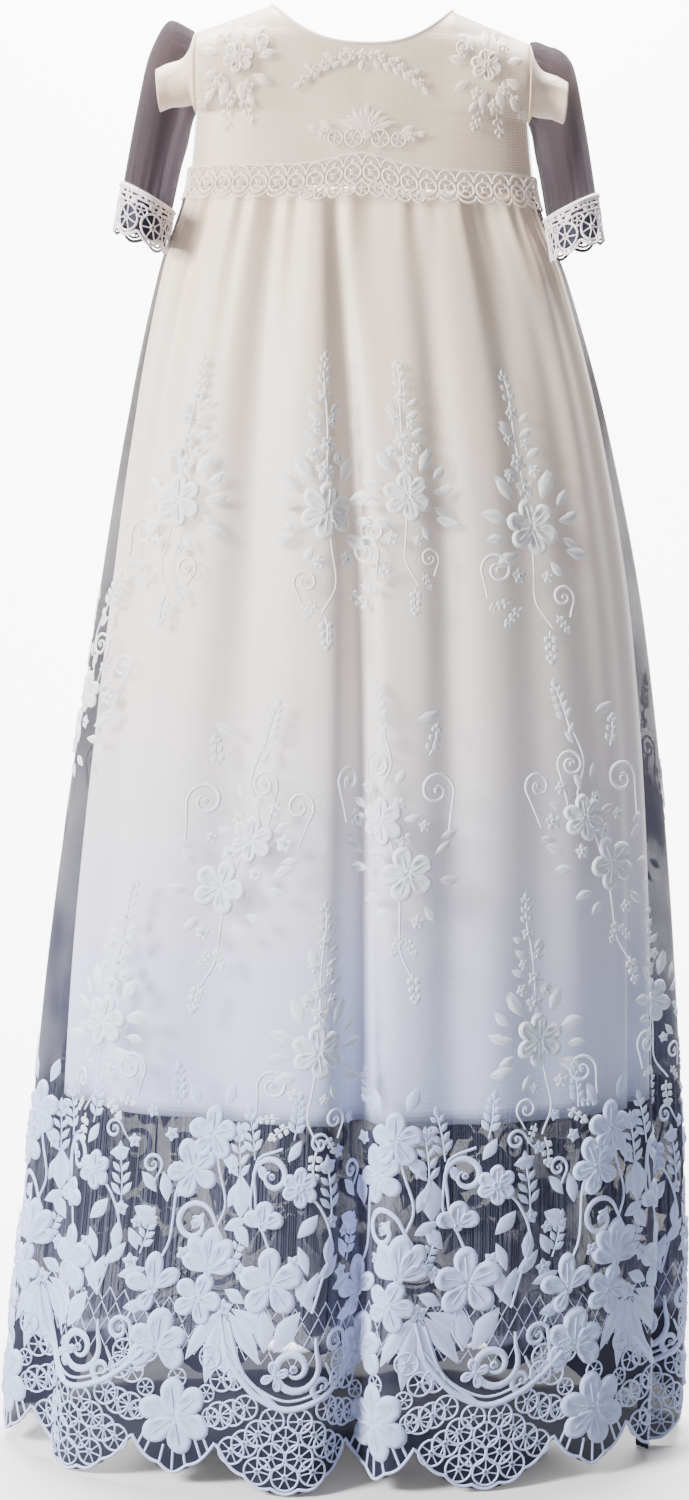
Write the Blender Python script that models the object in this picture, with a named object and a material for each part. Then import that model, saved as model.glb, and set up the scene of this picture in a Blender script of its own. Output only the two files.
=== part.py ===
"""A long christening gown, hanging from its shoulders with no wearer.

The bodice is satin under embroidered tulle, with sheer sleeves over short satin caps.
A gathered satin lining skirt hangs inside an embroidered tulle overskirt, whose scalloped
lace border is cut right through between its threads.

Frame: metres, +Z up, the front faces -Y, the wearer's left is at +X.
The origin is midway between the two points where the shoulder seams meet the neckline.
"""

import math

import bpy
import numpy as np
from mathutils import Vector
from mathutils.geometry import delaunay_2d_cdt

# Driving sizes, in millimetres
SATIN = 1.2
TULLE = 1.0
SEAM_GAP = 0.3
NECK_HALF_WIDTH = 57.5
NECK_DROP_FRONT = 27.0
NECK_DROP_BACK = 24.0
SHOULDER_TIP_X = 107.0
SHOULDER_TIP_Z = -19.0
SHOULDER_ROUNDING = 36.0
UNDERARM_Z = -70.0
ARMHOLE_HALF_DEPTH = 30.0
WAIST_Z = -117.0
LINING_HEM_Z = -712.0
HEM_Z = -944.0
LACE_TOP_Z = -868.0
LINING_INSET_WAIST = 1.8
LINING_INSET_HEM = 20.0
BORDER_REPEATS = 8
BORDER_PHASE = 0.36

# The unfolded girth of the gown at each height below the shoulder line
SECTION_COLUMNS = ("below", "half_width", "front", "back", "squareness")
SECTIONS = [
    (70, 108, 40, 38, 2.5),
    (97, 110.6, 41.6, 39.6, 2.45),
    (117, 113, 43, 41, 2.4),
    (170, 133, 56, 54, 2.2),
    (264, 158, 76, 74, 2.1),
    (421, 186, 98, 96, 2.0),
    (636, 212, 117, 115, 2.0),
    (856, 228, 128, 126, 2.0),
    (944, 232, 131, 129, 2.0),
]

# How far the gown's middle hangs aside at each height
DRIFT_COLUMNS = ("below", "aside")
DRIFTS = [(-10, 0), (120, 0), (190, 1.1), (280, 3.2), (380, 4.9), (460, 3.9), (620, -0.5), (775, -4.6),
          (890, -11), (944, -13)]

# Folds of the gathered skirts: all run inward from the girth. Angles and widths are in degrees
# round the gown (0 is centre front, 90 the wearer's left side), depths in millimetres.
FOLD_COLUMNS = (
    "angle_waist", "angle_hem", "left_waist", "left_hem", "right_waist", "right_hem",
    "depth_waist", "depth_knee", "depth_hem",
)
FOLDS = {
    "front_centre": (-7, 2, 3.4, 5.0, 3.0, 3.6, 3.4, 10, 24),
    "front_left": (-26, -29, 3.6, 12, 4.0, 12, 2.8, 7, 6),
    "front_right_narrow": (15, 18, 3.6, 6, 3.6, 6, 3.2, 7, 2),
    "front_right_middle": (37, 34, 4.5, 8, 4.5, 8, 2.4, 4, 3),
    "front_right_outer": (52, 53, 4.5, 7, 4.5, 7, 1.8, 4, 2),
    "right_turn": (72, 68, 5.0, 4.0, 5.0, 5.5, 1.0, 2, 22),
    "left_turn": (-58, -62, 5.0, 7, 5.0, 6, 1.2, 3, 12),
    "back_right_outer": (118, 116, 6.0, 6, 6.0, 7, 1.8, 5, 14),
    "back_right": (148, 146, 4.0, 7, 4.0, 5, 2.8, 8, 16),
    "back_centre": (172, 176, 3.6, 6, 3.6, 5, 3.2, 9, 18),
    "back_left": (202, 206, 4.0, 6, 4.0, 7, 2.8, 8, 14),
    "back_left_outer": (236, 240, 6.0, 7, 6.0, 6, 1.8, 5, 14),
}
KNEE_Z = -400.0

# One sleeve, seen from the front: its outer line, its inner line and half its depth at each row
SLEEVE_COLUMNS = ("outer_x", "outer_z", "inner_x", "inner_z", "half_depth")
SLEEVE_ROWS = [
    (108.3, -17.6, 108.3, -71.4, 31.4),
    (123.0, -11.5, 110.5, -79.0, 33.5),
    (137.0, -32.0, 113.0, -91.0, 34.5),
    (146.0, -68.0, 117.0, -105.0, 34.0),
    (155.5, -116.0, 123.0, -133.0, 32.0),
    (162.0, -149.0, 129.5, -162.0, 31.0),
]
SLEEVE_SWING = {"left": (9.5, 46.0), "right": (1.5, 16.0)}  # inward and forward at the cuff
SLEEVE_DROP = {"left": 9.0, "right": 0.0}  # how far the puffed head sinks
CUFF_START = 0.80
CUFF_SCALLOPS = 8
CUFF_HEIGHT = 31.0

# The short satin cap inside each sleeve, in the same columns
CAP_ROWS = [
    (108.3, -19.7, 108.3, -69.3, 29.5),
    (112.0, -30.0, 110.5, -65.0, 25.0),
    (117.0, -36.0, 115.0, -66.0, 22.0),
    (126.0, -39.0, 123.0, -67.0, 19.5),
    (133.5, -43.0, 131.0, -70.0, 18.5),
]

MATERIALS = {
    "satin": ((0.82, 0.79, 0.76), 0.32),
    "tulle": ((0.78, 0.76, 0.80), 0.60),
    "guipure": ((0.84, 0.84, 0.90), 0.65),
    "button_satin": ((0.86, 0.83, 0.79), 0.35),
}


def columns(rows, names):
    """A short table as a dictionary of arrays, one for each named column."""
    return dict(zip(names, np.array(rows, float).T))


def eased(at, known_at, known):
    """A monotone cubic through the known values, so that no row overshoots its neighbours."""
    at = np.asarray(at, float)
    gap = np.diff(known_at)
    slope = np.diff(known) / gap
    tangent = np.concatenate([[slope[0]], np.zeros(len(slope) - 1), [slope[-1]]])
    for i in range(1, len(slope)):
        if slope[i - 1] * slope[i] > 0:
            tangent[i] = 2 * slope[i - 1] * slope[i] / (slope[i - 1] + slope[i])
    i = np.clip(np.searchsorted(known_at, at) - 1, 0, len(gap) - 1)
    t = np.clip((at - known_at[i]) / gap[i], 0, 1)
    return (
        known[i] * (1 + 2 * t) * (1 - t) ** 2
        + tangent[i] * gap[i] * t * (1 - t) ** 2
        + known[i + 1] * t * t * (3 - 2 * t)
        - tangent[i + 1] * gap[i] * t * t * (1 - t)
    )


SECTION = columns(SECTIONS, SECTION_COLUMNS)
DRIFT = columns(DRIFTS, DRIFT_COLUMNS)
FOLD = {name: dict(zip(FOLD_COLUMNS, row)) for name, row in FOLDS.items()}


def girth(z, column):
    """One column of the section table at height z."""
    return eased(-np.asarray(z, float), SECTION["below"], SECTION[column])


def hung(points):
    """The whole gown as it hangs: rolled a little at the shoulders, and drifting aside lower down."""
    x, y, z = points[..., 0], points[..., 1], points[..., 2]
    aside = eased(-z, DRIFT["below"], DRIFT["aside"])
    return np.stack([x + aside, y, z - 0.034 * x * (1 - np.clip(z / HEM_Z, 0, 1))], axis=-1)


def fold_angle(fold, z):
    """Where a fold lies round the gown at height z: it moves most in the first hand's breadth."""
    down = np.clip((z - WAIST_Z) / (HEM_Z - WAIST_Z), 0, 1) ** 0.6
    return fold["angle_waist"] + (fold["angle_hem"] - fold["angle_waist"]) * down


def fold_depth(angle, z):
    """How far the folds carry the cloth inward at each angle and height."""
    down = np.clip((z - WAIST_Z) / (HEM_Z - WAIST_Z), 0, 1)
    known_at = np.array([-WAIST_Z, -KNEE_Z, -HEM_Z])
    total = np.zeros(np.broadcast(angle, z).shape)
    for fold in FOLD.values():
        away = (angle - fold_angle(fold, z) + 180) % 360 - 180
        left = fold["left_waist"] + (fold["left_hem"] - fold["left_waist"]) * down
        right = fold["right_waist"] + (fold["right_hem"] - fold["right_waist"]) * down
        width = np.where(away < 0, left, right)
        known = np.array([fold["depth_waist"], fold["depth_knee"], fold["depth_hem"]], float)
        total = total + eased(-z, known_at, known) * np.exp(-((away / width) ** 2))
    return total


def grain_angle(u, z):
    """Cloth that hangs at angle u at the hem is gathered to this angle higher up."""
    folds = sorted(FOLD.values(), key=lambda fold: fold["angle_hem"])
    at_hem = np.array([-90] + [f["angle_hem"] for f in folds] + [270], float)
    u, z = np.broadcast_arrays(np.asarray(u, float), np.asarray(z, float))
    angles = np.empty(u.shape)
    for level in np.unique(z):
        here = np.array([-90] + [fold_angle(f, level) for f in folds] + [270], float)
        row = z == level
        angles[row] = np.interp(u[row], at_hem, here)
    return angles


def skirt_surface(u, z, inset=0.0, folded=1.0):
    """Points of a skirt at cloth angle u and height z, carried inward by inset and by the folds."""
    u, z = np.broadcast_arrays(np.asarray(u, float), np.asarray(z, float))
    angle = grain_angle(u, z)
    sine, cosine = np.sin(np.radians(angle)), np.cos(np.radians(angle))
    wide = girth(z, "half_width")
    deep = np.where(cosine >= 0, girth(z, "front"), girth(z, "back"))
    power = girth(z, "squareness")
    x = np.sign(sine) * np.abs(sine) ** (2 / power) * wide
    y = -np.sign(cosine) * np.abs(cosine) ** (2 / power) * deep
    out_x = np.sign(x) * np.abs(x / wide) ** (power - 1) / wide
    out_y = np.sign(y) * np.abs(y / deep) ** (power - 1) / deep
    length = np.hypot(out_x, out_y)
    inward = inset + folded * fold_depth(angle, z)
    return np.stack([x - out_x / length * inward, y - out_y / length * inward, z], axis=-1)


def bodice_edge_y(z):
    """Half the armhole's depth at height z, and nothing above the tip or below the underarm."""
    middle, half = (SHOULDER_TIP_Z + UNDERARM_Z) / 2, (SHOULDER_TIP_Z - UNDERARM_Z) / 2
    return ARMHOLE_HALF_DEPTH * np.sqrt(np.clip(1 - ((z - middle) / half) ** 2, 0, 1))


def bodice_half_width(z):
    """From the flat armhole's plane out to the waist."""
    return np.where(z > UNDERARM_Z, SHOULDER_TIP_X + 1.0, girth(z, "half_width"))


def bodice_top(across, neck_drop):
    """Height of the neckline or the shoulder seam, and the share of the seam that lies inside it."""
    neck_share = NECK_HALF_WIDTH / SHOULDER_TIP_X
    at_neck = np.clip(np.abs(across) / neck_share, 0, 1)
    past_neck = np.clip((np.abs(across) - neck_share) / (1 - neck_share), 0, 1)
    return np.where(at_neck < 1, -neck_drop * (1 - at_neck**2.6), SHOULDER_TIP_Z * past_neck), past_neck


def bodice_surface(across, down, side):
    """Points of the bodice: across is -1 to 1 between the armholes, down is 0 at its top edge and 1 at
    the waist, and side is -1 at the front and 1 at the back. It rounds over at the shoulder seam."""
    neck_drop = NECK_DROP_FRONT if side < 0 else NECK_DROP_BACK
    top, past_neck = bodice_top(across, neck_drop)
    z = top + (WAIST_Z - top) * down
    x = across * bodice_half_width(z)
    drop = np.clip((SHOULDER_TIP_Z * past_neck - z) / SHOULDER_ROUNDING, 0, 1)
    rounding = np.sqrt(1 - (1 - drop) ** 2)
    deep = girth(z, "front" if side < 0 else "back")
    power = girth(z, "squareness")
    bulge = np.clip(1 - np.abs(across) ** power, 0, 1) ** (1 / power)
    edge = bodice_edge_y(z)
    y = side * (edge + np.maximum(deep * rounding - edge, 0) * bulge)
    return np.stack([x, y, z], axis=-1)


def sleeve_surface(rows, share, turn, side):
    """Points of a tapering sleeve: share is 0 at the armhole and 1 at the cuff, turn goes round it in
    radians from its outer line. Each ring is an ellipse between the outer and the inner line."""
    row = columns(rows, SLEEVE_COLUMNS)
    known_at = np.linspace(0, 1, len(rows))
    at = {name: eased(share, known_at, row[name]) for name in SLEEVE_COLUMNS}
    inward, forward = SLEEVE_SWING[side]
    drop = SLEEVE_DROP[side] * np.sin(math.pi * np.clip(share / 0.42, 0, 1)) ** 2
    if rows is CAP_ROWS:
        inward, forward, drop = inward * 0.12, forward * 0.1, 0
    centre_x = (at["outer_x"] + at["inner_x"]) / 2 - inward * share**2
    centre_z = (at["outer_z"] + at["inner_z"]) / 2
    reach_x = (at["outer_x"] - at["inner_x"]) / 2
    reach_z = (at["outer_z"] - at["inner_z"]) / 2
    x = centre_x + reach_x * np.cos(turn)
    z = centre_z + reach_z * np.cos(turn) - drop * (0.5 + 0.5 * np.cos(turn))
    y = at["half_depth"] * np.sin(turn) - forward * share**2
    return np.stack([x if side == "left" else -x, y, z], axis=-1)


def outward(surface, first, second, step_first, step_second, level=None):
    """Unit normals of a surface from its own finite differences, level where the sheet meets a
    neighbour above or below it."""
    along = surface(first + step_first, second) - surface(first - step_first, second)
    up = surface(first, second + step_second) - surface(first, second - step_second)
    normal = np.cross(along, up)
    if level is not None:
        normal[..., 2] = np.where(level, 0, normal[..., 2])
    return normal / np.maximum(np.linalg.norm(normal, axis=-1, keepdims=True), 1e-12)


def grid_triangles(rows, across, closed=False):
    """Triangles of a grid of points, optionally closed into a tube."""
    triangles = []
    for r in range(rows - 1):
        for c in range(across if closed else across - 1):
            a, b = r * across + c, r * across + (c + 1) % across
            triangles += [(a, b, b + across), (a, b + across, a + across)]
    return np.array(triangles)


def boundary_of(triangles):
    """The edges that only one triangle uses, in that triangle's direction."""
    seen = {}
    for a, b, c in triangles:
        for edge in ((a, b), (b, c), (c, a)):
            seen[edge] = True
    return [edge for edge in seen if (edge[1], edge[0]) not in seen]


def material(name):
    """A plain Principled material with the piece's colour and roughness."""
    if name in bpy.data.materials:
        return bpy.data.materials[name]
    colour, roughness = MATERIALS[name]
    made = bpy.data.materials.new(name)
    made.use_nodes = True
    shader = made.node_tree.nodes["Principled BSDF"]
    shader.inputs["Base Color"].default_value = (*colour, 1)
    shader.inputs["Roughness"].default_value = roughness
    return made


def wall(name, outer, inner, triangles, material_name):
    """One closed sheet of cloth between its outer and inner points, with its cut edges as a rim."""
    outer, inner = hung(outer), hung(inner)
    count = len(outer)
    faces = [tuple(int(i) for i in t) for t in triangles]
    faces += [tuple(int(i) + count for i in reversed(t)) for t in triangles]
    for a, b in boundary_of(triangles):
        faces += [(int(b), int(a), int(a) + count), (int(b), int(a) + count, int(b) + count)]
    mesh = bpy.data.meshes.new(name)
    mesh.from_pydata((np.concatenate([outer, inner]) / 1000).tolist(), [], faces)
    mesh.validate()
    solid = outer[triangles]
    towards_inner = (outer - inner)[triangles[:, 0]]
    facing = np.cross(solid[:, 1] - solid[:, 0], solid[:, 2] - solid[:, 0])
    if np.einsum("ij,ij->i", facing, towards_inner).sum() < 0:
        mesh.flip_normals()
    mesh.materials.append(material(material_name))
    mesh.shade_smooth()
    mesh.set_sharp_from_angle(angle=math.radians(50))
    made = bpy.data.objects.new(name, mesh)
    bpy.context.scene.collection.objects.link(made)
    return made


def inside_polygon(points, polygon):
    """Which points lie inside a polygon, by counting the sides to their right."""
    inside = np.zeros(len(points), bool)
    for (ax, ay), (bx, by) in zip(polygon, np.roll(polygon, -1, axis=0)):
        crosses = (ay > points[:, 1]) != (by > points[:, 1])
        if by != ay:
            at = ax + (points[:, 1] - ay) * (bx - ax) / (by - ay)
            inside ^= crosses & (points[:, 0] < at)
    return inside


def cut_sheet(outline, gaps, inner_points, creases=()):
    """A flat sheet with this outline, cut through at each gap: its points and its triangles. No
    triangle crosses a crease."""
    loops = [np.asarray(loop, float) for loop in [outline, *gaps]]
    points, edges = [], []
    for loop in loops:
        start = len(points)
        points += [Vector(p) for p in loop]
        edges += [(start + i, start + (i + 1) % len(loop)) for i in range(len(loop))]
    points += [Vector(p) for p in inner_points]
    for crease in creases:
        edges.append((len(points), len(points) + 1))
        points += [Vector(p) for p in crease]
    found = delaunay_2d_cdt(points, edges, [], 0, 1e-5)
    flat = np.array([tuple(p) for p in found[0]])
    triangles = np.array([tuple(f) for f in found[2]])
    middle = flat[triangles].mean(axis=1)
    keep = inside_polygon(middle, loops[0])
    for gap in loops[1:]:
        keep &= ~inside_polygon(middle, gap)
    triangles = triangles[keep]
    used, triangles = np.unique(triangles, return_inverse=True)
    return flat[used], triangles.reshape(-1, 3)


def fan_gaps(across, up, radius):
    """The three cut-out wedges of one fan, below its hub at (across, up)."""
    gaps = []
    for turn in (-142, -90, -38):
        corners = [(0.37, turn - 19), (0.84, turn - 20), (0.84, turn + 20), (0.37, turn + 19)]
        gaps.append([
            (across + radius * r * math.cos(math.radians(a)),
             up + radius * r * math.sin(math.radians(a)))
            for r, a in corners
        ])
    return gaps


FAN_SHARE = 0.62  # of a border repeat; the rest of it is the flower scallop
FAN_PITCH_SHARE = 0.118
FAN_RADIUS = 9.4
NOTCH_HEIGHT = 27.0
FLOWER_EDGE_HEIGHT = 7.0


def border_edge(phase):
    """Height of the scalloped edge above its lowest tip, at a phase of 0 to 1 through a repeat."""
    phase = np.asarray(phase, float) % 1
    fan = (phase - FAN_SHARE / 2) / (FAN_SHARE / 2)
    flower = (phase - (1 + FAN_SHARE) / 2) / ((1 - FAN_SHARE) / 2)
    fan_height = NOTCH_HEIGHT * np.abs(fan) ** 2.2
    flower_height = FLOWER_EDGE_HEIGHT + (NOTCH_HEIGHT - FLOWER_EDGE_HEIGHT) * np.abs(flower) ** 1.7
    return np.where(phase < FAN_SHARE, fan_height, flower_height)


def border_lobes(phase):
    """The small lobes along the scallops: one for each fan, and three for the flower."""
    phase = np.asarray(phase, float) % 1
    fan = np.abs(np.sin(math.pi * (phase - FAN_SHARE / 2 + FAN_PITCH_SHARE / 2) / FAN_PITCH_SHARE))
    flower = np.abs(np.sin(math.pi * 3 * (phase - FAN_SHARE) / (1 - FAN_SHARE)))
    return 2.6 * (1 - np.where(phase < FAN_SHARE, fan, flower))


def border_gaps(repeat_length):
    """The gaps of one border repeat, from its start: two rows of fans, and four between the flowers."""
    gaps = []
    pitch = FAN_PITCH_SHARE * repeat_length
    middle = FAN_SHARE / 2 * repeat_length
    for row, (places, rise) in enumerate((((-2, -1, 0, 1, 2), 12.0), ((-1.5, -0.5, 0.5, 1.5), 26.0))):
        for place in places:
            across = middle + place * pitch
            up = float(border_edge(across / repeat_length)) + rise - 1.6 * row
            gaps += fan_gaps(across, up, FAN_RADIUS)
    flower = (1 + FAN_SHARE) / 2 * repeat_length
    for across, up, wide, high in ((-13, 43, 5, 7), (13, 43, 5, 7), (-7.5, 19, 5, 6), (7.5, 19, 5, 6)):
        lean = math.copysign(1.5, across)
        gaps.append([
            (flower + across - wide / 2, up - high / 2), (flower + across + wide / 2, up - high / 2),
            (flower + across + wide / 2 + lean, up + high / 2),
            (flower + across - wide / 2 + lean, up + high / 2),
        ])
    return gaps


def hem_lengths():
    """Cloth angles round the hem and the length of hem from the start to each."""
    u = np.linspace(-90, 270, 1441)
    ring = skirt_surface(u, np.full(u.shape, HEM_Z + NOTCH_HEIGHT))
    steps = np.linalg.norm(np.diff(ring, axis=0), axis=1)
    return u, np.concatenate([[0], np.cumsum(steps)])


SKIRT_ROWS = (-129, -153, -200, -285, -405, -550)


def skirt_columns(start, end):
    """Cloth angles for a panel's grid: evenly spaced, and closer where a fold turns sharply."""
    angles = list(np.arange(start, end + 0.1, 10.0))
    for fold in FOLD.values():
        for share in (-1.5, -0.7, 0, 0.7, 1.5):
            width = fold["left_hem"] if share < 0 else fold["right_hem"]
            angles.append(fold["angle_hem"] + share * width)
    kept = [start]
    for angle in sorted(a for a in angles if start + 2 < a < end - 2):
        if angle - kept[-1] > 2.2:
            kept.append(angle)
    return np.array(kept + [end])


def overskirt_panel(name, start, end):
    """Half of the tulle overskirt, from one side seam to the other, with its cut lace border."""
    u_known, length_known = hem_lengths()
    total = length_known[-1]
    repeat = total / BORDER_REPEATS
    margin = SEAM_GAP / 2
    low, high = np.interp((start, end), u_known, length_known) + (margin, -margin)
    offset = BORDER_PHASE * repeat

    def edge_height(along):
        phase = (along - offset) / repeat
        return border_edge(phase) + border_lobes(phase)

    stations = []
    for turn in range(-1, BORDER_REPEATS + 1):
        for place in (-2, -1, 0, 1, 2):
            middle = FAN_SHARE / 2 + place * FAN_PITCH_SHARE
            stations += [turn + middle + step * FAN_PITCH_SHARE for step in (-0.5, -0.25, 0.25)]
        stations.append(turn + FAN_SHARE - 0.0295)
        stations += [turn + FAN_SHARE + (1 - FAN_SHARE) * step / 6 for step in range(6)]
    along = np.array(stations) * repeat + offset
    along = along[(along > low + 2) & (along < high - 2)]
    along = np.concatenate([[low], np.sort(along), [high]])
    top = WAIST_Z - SEAM_GAP
    rows = np.array([*SKIRT_ROWS, -700, -805, LACE_TOP_Z])
    grid_along = np.interp(skirt_columns(start, end), u_known, length_known)
    grid_along[0], grid_along[-1] = low, high
    bottom_edge = [(s, HEM_Z + h) for s, h in zip(along, edge_height(along))]
    right_edge = [(high, z) for z in rows[::-1]]
    left_edge = [(low, z) for z in rows]
    top_edge = [(s, top) for s in grid_along[::-1]]
    outline = bottom_edge + right_edge + top_edge + left_edge
    grid = [(s, z) for z in rows for s in grid_along[1:-1]]
    gaps = []
    for turn in range(-1, BORDER_REPEATS + 1):
        for gap in border_gaps(repeat):
            moved = [(s + offset + turn * repeat, HEM_Z + h) for s, h in gap]
            if min(s for s, _ in moved) > low + 1.2 and max(s for s, _ in moved) < high - 1.2:
                gaps.append(moved)
    flat, triangles = cut_sheet(outline, gaps, grid)

    def surface(s, z):
        return skirt_surface(np.interp(s, length_known, u_known), z)

    outer = surface(flat[:, 0], flat[:, 1])
    normal = outward(surface, flat[:, 0], flat[:, 1], 0.4, 0.4, flat[:, 1] > top - 1)
    wall(name, outer, outer - normal * TULLE, triangles, "tulle")
    return len(gaps)


def lining_panel(name, start, end):
    """Half of the satin lining skirt, which follows the overskirt's folds inside it."""
    rows = np.array([WAIST_Z - SEAM_GAP, *SKIRT_ROWS, LINING_HEM_Z])
    angles = skirt_columns(start, end)
    angles[0] += 0.12
    angles[-1] -= 0.12
    u, z = np.meshgrid(angles, rows)

    def surface(u, z):
        down = np.clip((z - WAIST_Z) / (LINING_HEM_Z - WAIST_Z), 0, 1)
        inset = LINING_INSET_WAIST + (LINING_INSET_HEM - LINING_INSET_WAIST) * down**0.8
        return skirt_surface(u, z, inset)

    outer = surface(u, z)
    normal = outward(surface, u, z, 0.15, 0.4, z > WAIST_Z - 1)
    triangles = grid_triangles(len(rows), len(angles))
    inner = outer - normal * SATIN
    wall(name, outer.reshape(-1, 3), inner.reshape(-1, 3), triangles, "satin")


NECK_SHARE = NECK_HALF_WIDTH / SHOULDER_TIP_X
HALF_COLUMNS = (0.24, 0.45, NECK_SHARE, 0.76, 0.91, 0.98)
BODICE_COLUMNS = np.array([-1, *(-s for s in HALF_COLUMNS[::-1]), 0, *HALF_COLUMNS, 1])
BODICE_ROWS = np.array([0, 0.08, 0.2, 0.36, 0.55, 0.78, 1.0])


def bodice_panel(name, side, first, last, inset, thickness, material_name):
    """A bodice piece between two shares of the width, on the front (side -1) or the back (1)."""
    inner_shares = [s for s in BODICE_COLUMNS if first + 0.005 < s < last - 0.005]
    across = np.array([first] + inner_shares + [last])
    down = BODICE_ROWS
    seam = SEAM_GAP / 2
    t, q = np.meshgrid(across, down)

    def surface(t, q):
        return bodice_surface(t, q, side)

    outer = surface(t, q)
    step = 0.004
    inside_t = np.clip(t, -1 + 2 * step, 1 - 2 * step)
    normal = side * outward(surface, inside_t, np.clip(q, 2 * step, 1), step, step, q > 0.999)
    triangles = grid_triangles(len(down), len(across))
    far = outer - normal * inset
    near = outer - normal * (inset + thickness)
    for sheet in (far, near):
        sheet[..., 1] = side * np.maximum(side * sheet[..., 1], seam)
    wall(name, far.reshape(-1, 3), near.reshape(-1, 3), triangles, material_name)


def panel_edges():
    """Every edge of a bodice panel's facets, in shares of its width and of its height."""
    edges = [((t, 0), (t, 1)) for t in BODICE_COLUMNS]
    edges += [((-1, q), (1, q)) for q in BODICE_ROWS]
    for t, next_t in zip(BODICE_COLUMNS, BODICE_COLUMNS[1:]):
        edges += [((t, q), (next_t, r)) for q, r in zip(BODICE_ROWS, BODICE_ROWS[1:])]
    return edges


def on_panel(t, q, side):
    """Points on the flat facets of a bodice panel, where a motif is sewn to it."""
    grid = bodice_surface(*np.meshgrid(BODICE_COLUMNS, BODICE_ROWS), side)
    c = np.clip(np.searchsorted(BODICE_COLUMNS, t) - 1, 0, len(BODICE_COLUMNS) - 2)
    r = np.clip(np.searchsorted(BODICE_ROWS, q) - 1, 0, len(BODICE_ROWS) - 2)
    a = ((t - BODICE_COLUMNS[c]) / (BODICE_COLUMNS[c + 1] - BODICE_COLUMNS[c]))[:, None]
    b = ((q - BODICE_ROWS[r]) / (BODICE_ROWS[r + 1] - BODICE_ROWS[r]))[:, None]
    first, last = grid[r, c], grid[r + 1, c + 1]
    upper = first + a * (grid[r, c + 1] - first) + b * (last - grid[r, c + 1])
    lower = first + b * (grid[r + 1, c] - first) + a * (last - grid[r + 1, c])
    return np.where(a >= b, upper, lower)


def applique(name, centre_x, centre_z, half_width, half_height, petals, lean):
    """A thick lace motif sewn on the bodice front, with a petalled edge, made from the panel's own
    points moved out. The lean turns it, in degrees."""
    turn = np.radians(np.arange(0, 360, 360 / (petals * 3)))
    reach = 0.86 + 0.14 * np.cos(petals * turn)
    a, b = half_width * reach * np.cos(turn), half_height * reach * np.sin(turn)
    lean = math.radians(lean)
    x = centre_x + a * math.cos(lean) - b * math.sin(lean)
    z = centre_z + a * math.sin(lean) + b * math.cos(lean)
    t = x / bodice_half_width(z)
    top = bodice_top(t, NECK_DROP_FRONT)[0]
    outline = np.stack([t, (z - top) / (WAIST_Z - top)], -1)
    flat, triangles = cut_sheet(outline, [], [], panel_edges())
    base = on_panel(flat[:, 0], flat[:, 1], -1)

    def surface(t, q):
        return bodice_surface(t, q, -1)

    normal = -outward(surface, flat[:, 0], np.clip(flat[:, 1], 0.01, 1), 0.004, 0.004)
    away = np.hypot(base[:, 0] - centre_x, base[:, 2] - centre_z)
    middle = away / max(half_width, half_height)
    lift = (SEAM_GAP + 1.3 + 0.5 * np.clip(1 - middle, 0, 1))[:, None]
    wall(name, base + normal * lift, base + normal * (SEAM_GAP + 0.2), triangles, "guipure")


def build_bodice():
    """Satin panels with the tulle panels over them, open down the centre back."""
    gap = 0.004
    layers = (("satin", TULLE + SEAM_GAP, SATIN, "satin"), ("tulle", 0.0, TULLE, "tulle"))
    for layer, inset, thickness, material_name in layers:
        name = "bodice_" + ("lining_" if layer == "satin" else "lace_")
        bodice_panel(name + "front", -1, -1, 1, inset, thickness, material_name)
        bodice_panel(name + "back_left", 1, gap, 1, inset, thickness, material_name)
        bodice_panel(name + "back_right", 1, -1, -gap, inset, thickness, material_name)


def girth_surface(angle, z, inset):
    """The girth itself at an angle round the gown, with equal arcs at the front and the sides."""
    power = girth(z, "squareness")
    wide = girth(z, "half_width")
    sine, cosine = np.sin(np.radians(angle)), np.cos(np.radians(angle))
    deep = np.where(cosine >= 0, girth(z, "front"), girth(z, "back"))
    reach = (np.abs(sine / wide) ** power + np.abs(cosine / deep) ** power) ** (-1 / power)
    x, y = reach * sine, -reach * cosine
    out_x = np.sign(x) * np.abs(x / wide) ** (power - 1) / wide
    out_y = np.sign(y) * np.abs(y / deep) ** (power - 1) / deep
    length = np.hypot(out_x, out_y)
    return np.stack([x - out_x / length * inset, y - out_y / length * inset, z + 0 * x], axis=-1)


def girth_angles(start, end, count):
    """Angles that space points evenly along the waist between two angles."""
    angles = np.linspace(start, end, 721)
    ring = girth_surface(angles, np.full(angles.shape, WAIST_Z), 0)
    length = np.concatenate([[0], np.cumsum(np.linalg.norm(np.diff(ring, axis=0), axis=1))])
    return np.interp(np.linspace(0, length[-1], count), length, angles)


TRIM_CLEAR = 0.7
TRIM_RISE = 9.0
TRIM_RISE_ANGLE = 32.0
TRIM_PITCHES = {"front": 22, "back_left": 10, "back_right": 10}
TRIM_TOP_Z = -104.5
TRIM_NOTCH_Z = -121.0
TRIM_TIP_Z = -126.0


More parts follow.
